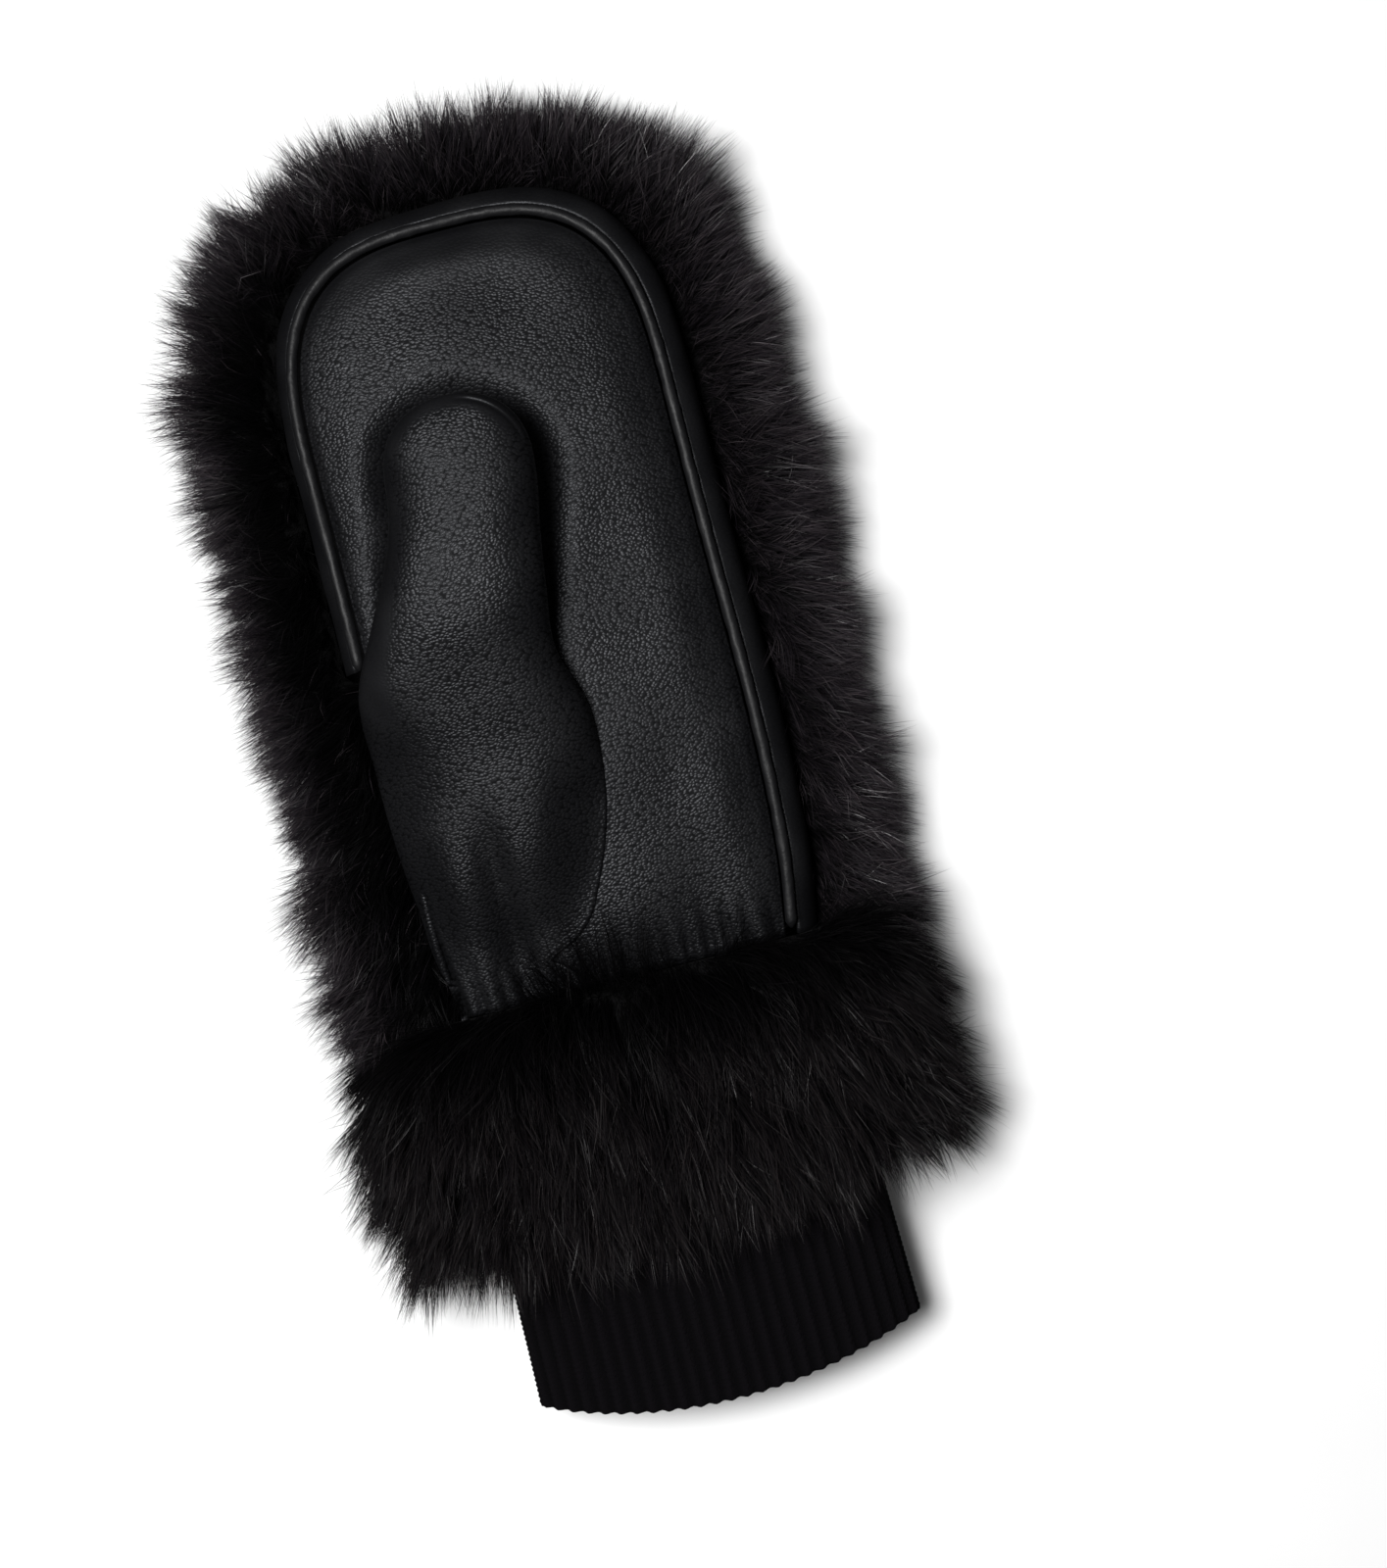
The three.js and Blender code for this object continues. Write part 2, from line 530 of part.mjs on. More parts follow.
function backMat() {
  const columns = columnsBetween(-1, 1);
  const rows = range(BACK_PROFILE.length - 1);
  const rowAt = (share) => BACK_PROFILE[Math.round(share * (BACK_PROFILE.length - 1))];
  const outer = grid(columns, rows, (turn, j) => pilePoint(turn, rowAt(j).pile, rowAt(j).high, rowAt(j).inward));
  const inner = grid(columns, rows, (turn, j) => hollowPoint(turn, rowAt(j)));
  return wall(outer, inner, { meets: true });
}

// Locks round the hand's edge: rows down the side of the back, from beside the leather to the surface
// below. Each stands out from the hand, and leans towards the cuff more and more down the hand.
function handLocks() {
  const length = 2 * ARCH_FOOT + 2.6 * (HALF_PALM + MAT_REACH);
  const count = Math.round(length / LOCK_SPACING);
  return LOCK_ROWS.flatMap((row, r) =>
    Array.from({ length: count }, (_, i) => {
      const n = r * count + i;
      const turn = (2 * (i + 0.25 + 0.5 * (r % 2) + 0.2 * scatter(n + 0.7))) / count - 1;
      const root = pilePoint(turn, row.pile, row.high);
      const lean = THREE.MathUtils.smoothstep(ARCH_FOOT - root.y, -0.4 * ARCH_FOOT, ARCH_FOOT);
      const along = new THREE.Vector3(0.3 * (scatter(n + 0.1) - 0.5), -0.8 * lean, 0);
      const first = outward(turn).addScaledVector(along, 0.5).setZ(row.up).normalize();
      const second = outward(turn).add(along).setZ(0.5 * row.up + 0.2 * (scatter(n + 0.2) - 0.5)).normalize();
      return lock(root, first, second, row.length, n);
    }),
  );
}

// An oval section with squarish corners about the X axis's zero, as a function of the angle.
function oval(half, middle, rise, power) {
  return (angle) => {
    const [c, s] = [Math.cos(angle), Math.sin(angle)];
    return {
      x: half * Math.sign(c) * Math.abs(c) ** (2 / power),
      z: middle + rise * Math.sign(s) * Math.abs(s) ** (2 / power),
    };
  };
}

// Angles that share out an oval section's round evenly, from 0 to a full turn.
function evenAngles(count, width, height, power) {
  const steps = 720;
  const section = oval(width / 2, 0, height / 2, power);
  const round = range(steps).map((share) => {
    const { x, z } = section(share * 2 * Math.PI);
    return new THREE.Vector2(x, z);
  });
  const run = [0];
  for (let i = 0; i < steps; i++) run.push(run[i] + round[i].distanceTo(round[i + 1]));
  return range(count).map((share) => {
    const i = Math.max(1, run.findIndex((length) => length >= share * run[steps] - 1e-9));
    const part = (share * run[steps] - run[i - 1]) / (run[i] - run[i - 1]);
    return ((i - 1 + part) / steps) * 2 * Math.PI;
  });
}

// The gauntlet's pile surface: share 0 at the wrist, 1 at the fur hem.
function gauntletPile(share, angle) {
  const half = (GAUNTLET_WIDTH / 2) * follow(GAUNTLET_STATIONS, "width", share);
  const high = GAUNTLET_HEIGHT * follow(GAUNTLET_STATIONS, "height", share);
  const { x, z } = oval(half, high / 2 - 1, high / 2 + 1, PILE_POWER)(angle);
  return new THREE.Vector3(x, -THREE.MathUtils.lerp(GAP / 2, GAUNTLET_LENGTH, share), Math.max(0, z));
}

// The knitted cuff's section at a place along it, on its rib crests and a distance outside them.
function cuffPoint(y, angle, outset) {
  const out = (-y - (GAUNTLET_LENGTH - CUFF_TUCK)) / (CUFF_SHOWN + CUFF_TUCK);
  const half = (CUFF_WIDTH / 2) * THREE.MathUtils.lerp(1, CUFF_HEM_SHARE, out) + outset;
  const middle = CUFF_MIDDLE - CUFF_DROOP * THREE.MathUtils.smoothstep(out, 0.2, 1);
  const { x, z } = oval(half, middle, CUFF_HEIGHT / 2 + outset, CUFF_POWER)(angle);
  return new THREE.Vector3(x, y, z);
}

// The wall of the gauntlet's hollow: wide round the wrist, then in to the knitted cuff.
function gauntletHollow(share, angle) {
  if (share > 0.8) return cuffPoint(-THREE.MathUtils.lerp(GAP / 2, GAUNTLET_LENGTH, share), angle, GAP);
  const half = (GAUNTLET_HOLLOW / 2) * follow(GAUNTLET_STATIONS, "hollow", share);
  const rise = (GAUNTLET_HOLLOW_HEIGHT / 2) * follow(GAUNTLET_STATIONS, "hollowHeight", share);
  const { x, z } = oval(half, HOLLOW_FLOOR + rise, rise, CUFF_POWER)(angle);
  return new THREE.Vector3(x, -THREE.MathUtils.lerp(GAP / 2, GAUNTLET_LENGTH, share), z);
}

function gauntletMat() {
  const shares = GAUNTLET_STATIONS.map((row) => row.at);
  const angles = evenAngles(GAUNTLET_COLUMNS, GAUNTLET_WIDTH, GAUNTLET_HEIGHT, PILE_POWER);
  const outer = grid(angles, shares, (angle, share) => gauntletPile(share, angle));
  const inner = grid(angles, shares, (angle, share) => gauntletHollow(share, angle));
  return wall(outer, inner, { around: true });
}

// Locks of the gauntlet: rings from the wrist to the hem, swept towards the cuff.
function gauntletLocks() {
  const count = 2 * Math.round((GAUNTLET_WIDTH + 0.7 * GAUNTLET_HEIGHT) / LOCK_SPACING);
  const angles = evenAngles(4 * count, GAUNTLET_WIDTH, GAUNTLET_HEIGHT, PILE_POWER);
  return LOCK_RINGS.flatMap((ring, r) =>
    Array.from({ length: count }, (_, i) => {
      const n = 500 + r * count + i;
      const angle = angles[4 * i + 2 * (r % 2) + Math.round(scatter(n + 0.7))];
      const root = gauntletPile(ring.at, angle);
      if (root.z < 1) return null;
      const away = new THREE.Vector3(root.x / GAUNTLET_WIDTH, 0, root.z / GAUNTLET_HEIGHT - 0.5).normalize();
      if (root.z < 8) away.setZ(0).normalize();
      const side = Math.abs(away.x);
      const stray = 0.3 * (scatter(n + 0.1) - 0.5);
      const first = away.clone().multiplyScalar(ring.rise + 0.5 * side);
      first.add(new THREE.Vector3(0.5 * stray, -0.95 + 0.25 * side, 0)).normalize();
      const second = away.clone().multiplyScalar(ring.flare + 0.55 * side);
      second.add(new THREE.Vector3(stray, -0.95 + 0.25 * side, 0)).normalize();
      return lock(root, first, second, ring.length * (1 - 0.3 * side), n);
    }).filter((made) => made),
  );
}

function join(solids) {
  return solids.reduce((whole, piece) => whole.add(piece));
}

// The knitted cuff: ribs run along it, and its hem sags in the middle.
function ribbedCuff() {
  const [top, hem] = [-(GAUNTLET_LENGTH - CUFF_TUCK), -(GAUNTLET_LENGTH + CUFF_SHOWN)];
  const angles = evenAngles(2 * RIBS, CUFF_WIDTH, CUFF_HEIGHT, CUFF_POWER);
  const side = (outset) =>
    grid(range(2 * RIBS), [0, 0.35, 1], (share, j) => {
      const i = Math.round(share * 2 * RIBS);
      const p = cuffPoint(THREE.MathUtils.lerp(top, hem, j), angles[i], outset(i));
      const sag = CUFF_SAG * (1 - Math.min(1, (2 * p.x) / CUFF_WIDTH) ** 2) * j ** 2;
      return p.setY(p.y - sag);
    });
  return wall(side((i) => -RIB_RISE * (i % 2)), side(() => -RIB_RISE - CUFF_WALL), { around: true });
}

// The cuff's outside as a plain plug, for trimming the pile round it.
function cuffPlug(clearance) {
  const [top, hem] = [-(GAUNTLET_LENGTH - CUFF_TUCK - 1), -(GAUNTLET_LENGTH + CUFF_SHOWN)];
  return loft(
    [top, hem].map((y) => range(31).map((share) => cuffPoint(y, (share * 31 * 2 * Math.PI) / 32, clearance))),
  );
}

const core = handCore(GAP);
const thumbRoom = thumbForm(-PILE_GAP, THUMB_ROWS, THUMB_POINTS);
const thumbShell = thumbForm(0, THUMB_ROWS, THUMB_POINTS).subtract(thumbForm(THUMB_WALL, THUMB_ROWS - 4, THUMB_POINTS - 4)).subtract(core);
const palm = palmSheet().add(gather()).subtract(thumbHole());
const handSide = slab({ low: [-FAR, GAP / 2, 0] });
const backFur = join([backMat(), ...handLocks()]).intersect(handSide).subtract(thumbRoom);
const cuffSide = slab({ low: [-FAR, -FAR, 0], high: [FAR, -GAP / 2, FAR] });
const gauntletFur = join([gauntletMat(), ...gauntletLocks()]).intersect(cuffSide).subtract(cuffPlug(GAP));

function mesh(name, solid, finish) {
  const { vertProperties, triVerts } = largest(solid).getMesh();
  const geometry = new THREE.BufferGeometry();
  geometry.setAttribute("position", new THREE.BufferAttribute(vertProperties, 3));
  geometry.setIndex(new THREE.BufferAttribute(triVerts, 1));
  const flat = geometry.toNonIndexed();
  flat.computeVertexNormals();
  const made = new THREE.Mesh(flat, new THREE.MeshStandardMaterial(finish));
  made.name = name;
  return made;
}

const LEATHER = { color: 0x1b1b1d, roughness: 0.45, metalness: 0 };
const PILE = { color: 0x121113, roughness: 0.95, metalness: 0 };
const KNIT = { color: 0x15131a, roughness: 0.9, metalness: 0 };

const mitten = new THREE.Group();
mitten.add(
  mesh("palm_panel", palm, LEATHER),
  mesh("side_band", bandSheet(), LEATHER),
  mesh("piping", pipingCord().subtract(thumbForm(-GAP, THUMB_ROWS, THUMB_POINTS)), LEATHER),
  mesh("thumb_front", thumbShell.intersect(besideSeam(1)), LEATHER),
  mesh("thumb_back", thumbShell.intersect(besideSeam(-1)), LEATHER),
  mesh("fur_back", backFur, PILE),
  mesh("fur_gauntlet", gauntletFur, PILE),
  mesh("rib_cuff", ribbedCuff(), KNIT),
);

// The part's origin is the middle of its bounds, on the surface that it lies on.
const bounds = new THREE.Box3().setFromObject(mitten);
const middle = bounds.getCenter(new THREE.Vector3());
mitten.position.set(-middle.x, -middle.y, -bounds.min.z);

export default mitten;
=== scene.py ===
"""A left-hand ski mitten lying on its furred back, palm up: a padded leather palm and thumb with a piped
edge, deep pile on the back and the gauntlet, and a rib-knitted cuff."""
import logging
import math
from dataclasses import dataclass, field
from enum import Enum
from typing import Callable, NamedTuple

import bmesh
import bpy
import numpy as np
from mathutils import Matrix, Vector
from mathutils.kdtree import KDTree


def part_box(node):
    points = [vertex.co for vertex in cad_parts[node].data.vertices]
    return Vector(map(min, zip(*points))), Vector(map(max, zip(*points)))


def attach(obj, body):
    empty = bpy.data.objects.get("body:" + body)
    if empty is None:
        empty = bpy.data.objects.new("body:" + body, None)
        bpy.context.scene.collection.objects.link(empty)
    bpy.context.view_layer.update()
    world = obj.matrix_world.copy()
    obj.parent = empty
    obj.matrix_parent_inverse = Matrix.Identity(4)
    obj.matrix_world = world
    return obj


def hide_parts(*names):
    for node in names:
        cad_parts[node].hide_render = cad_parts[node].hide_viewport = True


Array = np.ndarray
Place = Callable[[Array, Array], Array]

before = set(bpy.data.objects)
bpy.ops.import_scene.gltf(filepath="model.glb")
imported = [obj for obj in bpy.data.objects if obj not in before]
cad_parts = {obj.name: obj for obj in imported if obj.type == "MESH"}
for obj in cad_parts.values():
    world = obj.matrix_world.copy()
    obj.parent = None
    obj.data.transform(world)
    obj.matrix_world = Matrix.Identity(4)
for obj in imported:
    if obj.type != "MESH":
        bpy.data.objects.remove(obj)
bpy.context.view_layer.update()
LOG = logging.getLogger("mitten")

# The sewing frame: millimetres, with X = 0 on the hand's middle line, Y = 0 at the gathered wrist and
# Z = 0 on the surface that the mitten lies on. The palm starts a little above the wrist's line.
PALM_LOW, PALM_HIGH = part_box("palm_panel")
PALM_START = 0.000175
ORIGIN = np.array([(PALM_LOW[0] + PALM_HIGH[0]) / 2, PALM_LOW[1] - PALM_START, 0.0])
MM = 0.001
UP = np.array([0, 0, 1])
TO_FINGERTIPS = np.array([0, 1, 0])
STEP = 1e-3


class Slot(Enum):
    """Material slots of the part's record."""

    LEATHER = "leather"
    PIPING = "piping"
    FUR = "fur"
    KNIT = "knit"


class HandStation(NamedTuple):
    """Shares of the hand's sizes at a place along the palm."""

    at: float
    width: float
    depth: float
    crown: float


class ThumbStation(NamedTuple):
    """Shares of the thumb's sizes at a place from its foot to its tip."""

    at: float
    middle: float
    half: float
    low: float
    high: float


class SeamPoint(NamedTuple):
    """A point of the thumb's side seam."""

    at: float
    high: float


class Fold(NamedTuple):
    """A fold in the leather: where its middle is, its width and how deep it is. A ridge has a depth
    below 0."""

    middle: float
    width: float
    depth: float

    def sink(self, x: Array) -> Array:
        """How far the leather sinks at places across it."""
        return self.depth * hump(x, self.middle, self.width)


class GauntletStation(NamedTuple):
    """Shares of the gauntlet's sizes from the wrist to the hem of the pile."""

    at: float
    width: float
    height: float


HAND_STATIONS = (
    HandStation(0.0, 0.91, 0.76, 0.4),
    HandStation(0.12, 0.98, 0.88, 0.75),
    HandStation(0.3, 1.01, 0.98, 1.0),
    HandStation(0.55, 1.0, 1.0, 1.0),
    HandStation(0.8, 1.0, 0.97, 0.95),
    HandStation(1.0, 1.0, 0.88, 0.6),
)
THUMB_STATIONS = (
    ThumbStation(0.0, -0.56, 0.47, -0.86, -0.36),
    ThumbStation(0.08, -0.53, 0.58, -0.84, 0.0),
    ThumbStation(0.24, -0.47, 0.71, -0.74, 0.3),
    ThumbStation(0.41, -0.46, 0.73, -0.66, 0.52),
    ThumbStation(0.53, -0.49, 0.67, -0.46, 0.71),
    ThumbStation(0.635, -0.388, 0.595, -0.07, 0.86),
    ThumbStation(0.735, -0.286, 0.525, -0.05, 0.93),
    ThumbStation(0.84, -0.206, 0.5, -0.03, 0.92),
    ThumbStation(1.0, -0.184, 0.5, -0.02, 0.88),
)
THUMB_SEAM = (
    SeamPoint(0.36, -0.9),
    SeamPoint(0.46, -0.15),
    SeamPoint(0.56, 0.22),
    SeamPoint(0.67, 0.4),
    SeamPoint(1.2, 0.43),
)
THUMB_FOLDS = (Fold(-27.0, 4.2, 2.8), Fold(-38.0, 6.0, -1.9))
GAUNTLET_STATIONS = (
    GauntletStation(0.0, 0.91, 0.74),
    GauntletStation(0.05, 0.99, 0.89),
    GauntletStation(0.2, 1.03, 0.98),
    GauntletStation(0.45, 1.03, 1.0),
    GauntletStation(0.75, 0.99, 0.98),
    GauntletStation(0.93, 0.93, 0.9),
    GauntletStation(1.0, 0.84, 0.78),
)


def follow(table: tuple, column: str, share: Array) -> Array:
    """A table's column on a smooth curve through its rows.

    Args:
        table: rows with an `at` column that rises.
        column: name of the column to read.
        share: places along the table.

    Returns:
        The column's values there.
    """
    at = np.array([row.at for row in table])
    value = np.array([getattr(row, column) for row in table])
    share = np.clip(share, at[0], at[-1])
    i = np.clip(np.searchsorted(at, share), 1, len(at) - 1)
    before = np.maximum(i - 2, 0)
    after = np.minimum(i + 1, len(at) - 1)
    span = at[i] - at[i - 1]
    slope_a = (value[i] - value[before]) / (at[i] - at[before]) * span
    slope_b = (value[after] - value[i - 1]) / (at[after] - at[i - 1]) * span
    t = (share - at[i - 1]) / span
    rise = value[i] - value[i - 1]
    return value[i - 1] + t * (
        slope_a + t * (3 * rise - 2 * slope_a - slope_b + t * (slope_a + slope_b - 2 * rise))
    )


def ease(x: Array, low: float, high: float) -> Array:
    """0 below low, 1 above high and a smooth rise between them."""
    t = np.clip((np.asarray(x) - low) / (high - low), 0.0, 1.0)
    return t * t * (3 - 2 * t)


def blend(a: Array, b: Array, share: Array) -> Array:
    """The value a share of the way from a to b."""
    return a + (b - a) * share


def hump(x: Array, middle: float, width: float) -> Array:
    """1 at the middle, and less and less away from it."""
    return np.exp(-(((x - middle) / width) ** 2))


def unit(vectors: Array) -> Array:
    """The vectors, each made one long."""
    return vectors / np.maximum(np.linalg.norm(vectors, axis=-1, keepdims=True), 1e-9)


class Waves(NamedTuple):
    """Smooth repeatable unevenness: about how far it rises and sinks, the distance between its crests
    and the seed that picks it."""

    rise: float
    crests: float
    seed: int

    def at(self, points: Array) -> Array:
        """The unevenness at places, one row each."""
        count = 14
        rng = np.random.default_rng(self.seed)
        ways = unit(rng.normal(size=(count, points.shape[-1])))
        lengths = self.crests * rng.uniform(0.6, 1.6, count)
        phases = rng.uniform(0, 2 * math.pi, count)
        crests = np.sin(points @ (ways * (2 * math.pi / lengths)[:, None]).T + phases)
        return self.rise * (crests.sum(axis=-1) / math.sqrt(count))


def stack(*columns: Array) -> Array:
    """Points from their coordinates."""
    return np.stack(np.broadcast_arrays(*columns), axis=-1)


def oval(angle: Array, power: float) -> tuple[Array, Array]:
    """Across and up of a superellipse of half sizes 1 at an angle."""
    c, s = np.cos(angle), np.sin(angle)
    return np.sign(c) * np.abs(c) ** (2 / power), np.sign(s) * np.abs(s) ** (2 / power)


@dataclass(frozen=True)
class HandForm:
    """The stuffed hand that the palm, its trim and the pile are built on, in millimetres."""

    palm_width: float = 98.0
    palm_length: float = 207.5
    arch_length: float = 57.5
    arch_power: float = 3.0
    spine_length: float = 20.0
    thickness: float = 30.0
    crown_rise: float = 6.5
    crown_power: float = 2.1
    rest_pile: float = 10.0
    dent_depth: float = 8.6
    dent_reach: float = 13.5
    dent_start: float = 2.0
    dent_shares: tuple[float, float] = (0.42, 0.62)
    fold_ends: tuple[float, float] = (32.0, 62.0)
    seam_half: float = 2.05
    crotch: float = 97.0
    arch_share: float = 0.44
    run: float = 240.0

    @property
    def half(self) -> float:
        """Half of the palm's width."""
        return self.palm_width / 2

    @property
    def arch_foot(self) -> float:
        """Where the sides start to turn in."""
        return self.palm_length - self.arch_length

    def turn_of(self, y: float) -> float:
        """The outline's turn at a place on the little finger's side."""
        return self.arch_share + (1 - self.arch_share) * (1 - y / self.arch_foot)

    def outline(self, turn: Array, out: Array) -> tuple[Array, Array, Array]:
        """The hand's outline in plan.

        Args:
            turn: -1 at the wrist on the thumb's side, 0 at the fingertips, 1 at the wrist again.
            out: distance outside the piping line.

        Returns:
            x, y and the y of the nearest point of the middle line.
        """
        turn, out = np.broadcast_arrays(np.asarray(turn, float), np.asarray(out, float))
        half = self.half + out
        share = np.abs(turn) / self.arch_share
        y = self.arch_foot * (1 - (np.abs(turn) - self.arch_share) / (1 - self.arch_share))
        narrowing = self.half * (1 - follow(HAND_STATIONS, "width", y / self.palm_length))
        angle = math.pi / 2 * (1 - np.minimum(share, 1.0))
        c, s = np.cos(angle), np.sin(angle)
        inverse = (c / half) ** self.arch_power + (s / (self.arch_length + out)) ** self.arch_power
        reach = inverse ** (-1 / self.arch_power)
        straight = share >= 1
        x = np.sign(turn) * np.where(straight, half - narrowing, reach * c)
        spine = np.where(straight, y, self.arch_foot + self.spine_length * s)
        return x, np.where(straight, y, self.arch_foot + reach * s), spine

    def outward(self, turn: Array) -> Array:
        """The level direction away from the hand."""
        near, far = self.outline(turn, 0.0), self.outline(turn, 1.0)
        return unit(stack(far[0] - near[0], far[1] - near[1], 0.0))

    def reach(self, y: Array) -> Array:
        """How far from the middle line the piping is, below the arch of the fingertips."""
        return self.half * follow(HAND_STATIONS, "width", y / self.palm_length)

    def edge(self, y: Array) -> Array:
        """Height of the piping line."""
        return self.rest_pile + self.thickness * follow(HAND_STATIONS, "depth", y / self.palm_length)

    def palm(self, x: Array, y: Array, inward: Array) -> Array:
        """Height of the palm's leather, with the dent that the thumb presses into it."""
        crown = self.crown_rise * follow(HAND_STATIONS, "crown", y / self.palm_length)
        sunk = self.dent(x, y) * np.minimum(1, 5 * inward) + self.fold(x, y)
        return self.edge(y) + crown * (1 - (1 - inward) ** self.crown_power) - sunk

    def dent(self, x: Array, y: Array) -> Array:
        """How far the thumb presses the palm in: it slopes down to the thumb all round."""
        first, full = self.dent_shares
        core = np.clip(y, 0, THUMB.tip - THUMB.tip_length)
        away = np.hypot(x - THUMB.middle(core), y - core) - THUMB.width / 2
        along = ease(y, first * THUMB.tip, full * THUMB.tip)
        return self.dent_depth * along * (1 - np.clip((away + self.dent_start) / self.dent_reach, 0, 1)) ** 2

    def fold(self, x: Array, y: Array) -> Array:
        """How far the leather sinks in the folds of the thumb's foot, by the wrist."""
        return (1 - ease(y, *self.fold_ends)) * sum(fold.sink(x) for fold in THUMB_FOLDS)


@dataclass(frozen=True)
class ThumbForm:
    """The stuffed thumb, in millimetres."""

    start: float = 10.5
    tip: float = 159.5
    width: float = 40.0
    depth: float = 27.0
    base: float = 46.0
    tip_length: float = 20.0
    tip_round: float = 2.3
    tip_thin: float = 0.35
    row_bend: float = 1.45
    tilt: float = 0.06
    tilt_ends: tuple[float, float] = (60.0, 105.0)
    skew: float = 6.5
    skew_ends: tuple[float, float] = (66.0, 104.0)
    ball_power: float = 1.8
    free_power: float = 2.7
    tip_power: float = 1.1

    def share(self, y: Array) -> Array:
        """Share of the thumb's length at y."""
        return (y - self.start) / (self.tip - self.start)

    def power(self, y: Array) -> Array:
        """How square the section is: the ball of the thumb is rounder than its tip."""
        free = blend(self.ball_power, self.free_power, ease(y, 40, 100))
        return free + self.tip_power * ease(y, 140, 160)

    def middle(self, y: Array) -> Array:
        """Where the thumb's middle line crosses the hand."""
        return HAND.half * follow(THUMB_STATIONS, "middle", self.share(y))

    def rows(self, first: float, v: Array) -> Array:
        """Places along the thumb, closer together towards its tip."""
        return blend(first, self.tip, np.sin(v * self.row_bend) / math.sin(self.row_bend))

    def section(self, y: Array) -> tuple[Array, Array, Array]:
        """Half width, middle height and half height of the thumb at y."""
        past = np.clip((y - self.tip) / self.tip_length + 1, 0, 1)
        blunt = (1 - past**self.tip_round) ** (1 / self.tip_round)
        low = self.base + self.depth * follow(THUMB_STATIONS, "low", self.share(y))
        high = self.base + self.depth * follow(THUMB_STATIONS, "high", self.share(y))
        half = self.width * follow(THUMB_STATIONS, "half", self.share(y)) * blunt
        return half, (low + high) / 2, (high - low) / 2 * blend(self.tip_thin, 1.0, blunt**0.45)

    def seam(self, y: Array) -> Array:
        """Height of the seam between the thumb's front and back."""
        at = np.array([row.at for row in THUMB_SEAM]) * self.tip
        high = self.base + self.depth * np.array([row.high for row in THUMB_SEAM])
        return np.interp(y, at, high)


HAND = HandForm()
THUMB = ThumbForm()


def to_metres(points: Array) -> Array:
    """Points of the sewing frame as metres in the CAD's frame."""
    return points * MM + ORIGIN


@dataclass
class Panel:
    """A sheet laid out on a grid, with a place for each of its points."""

    columns: int
    rows: int
    place: Place
    outside: Callable[[Array], Array]

    def mesh(self) -> bmesh.types.BMesh:
        """The sheet as a bmesh in metres, merged where its edges meet and facing outwards."""
        made = bmesh.new()
        bmesh.ops.create_grid(
            made, x_segments=self.columns, y_segments=self.rows, size=1.0, calc_uvs=False
        )
        shares = (np.array([vert.co[:2] for vert in made.verts]) + 1) / 2
        layer = made.loops.layers.uv.new("UVMap")
        for face in made.faces:
            for loop in face.loops:
                loop[layer].uv = ((loop.vert.co.x + 1) / 2, (loop.vert.co.y + 1) / 2)
        points = to_metres(self.place(shares[:, 0], shares[:, 1]))
        for vert, point in zip(made.verts, points):
            vert.co = point
        bmesh.ops.remove_doubles(made, verts=made.verts, dist=2e-6)
        bmesh.ops.recalc_face_normals(made, faces=made.faces)
        self.face_out(made)
        return made

    def face_out(self, made: bmesh.types.BMesh) -> None:
        """Turns the faces over if most of them point against the outside."""
        centres = np.array([face.calc_center_median() for face in made.faces])
        normals = np.array([face.normal * face.calc_area() for face in made.faces])
        if (normals * self.outside(centres)).sum() < 0:
            bmesh.ops.reverse_faces(made, faces=made.faces)


def upward(centres: Array) -> Array:
    """The outside of a sheet that faces up."""
    return np.tile([0.0, 0.0, 1.0], (len(centres), 1))


def downward(centres: Array) -> Array:
    """The outside of a sheet that faces down."""
    return -upward(centres)


def away_from(middle: Array) -> Callable[[Array], Array]:
    """The outside of a sheet round a middle point, in the sewing frame."""
    return lambda centres: centres - to_metres(middle)


def dressed(data: bpy.types.Mesh, material: bpy.types.Material) -> bpy.types.Object:
    """A smooth-shaded object with a mesh's own name, and its material."""
    data.shade_smooth()
    data.materials.append(material)
    piece = bpy.data.objects.new(data.name, data)
    bpy.context.scene.collection.objects.link(piece)
    return piece


def as_object(made: bmesh.types.BMesh, name: str, material: bpy.types.Material) -> bpy.types.Object:
    """An object from a bmesh, with its material."""
    data = bpy.data.meshes.new(name)
    made.to_mesh(data)
    made.free()
    return dressed(data, material)


def settle(piece: bpy.types.Object, slot: Slot, *nodes: str) -> None:
    """Puts a piece on the part's body in place of CAD nodes, which it hides, and logs it."""
    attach(piece, "root")
    if nodes:
        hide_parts(*nodes)
    stands_for = ", ".join(nodes) or "nothing"
    LOG.info("%s: %d faces, stands for %s", piece.name, len(piece.data.polygons), stands_for)


def thicken(piece: bpy.types.Object, millimetres: float) -> None:
    """Gives a sheet its wall, inwards."""
    wall = piece.modifiers.new("wall", "SOLIDIFY")
    wall.thickness = millimetres * MM
    wall.offset = -1.0


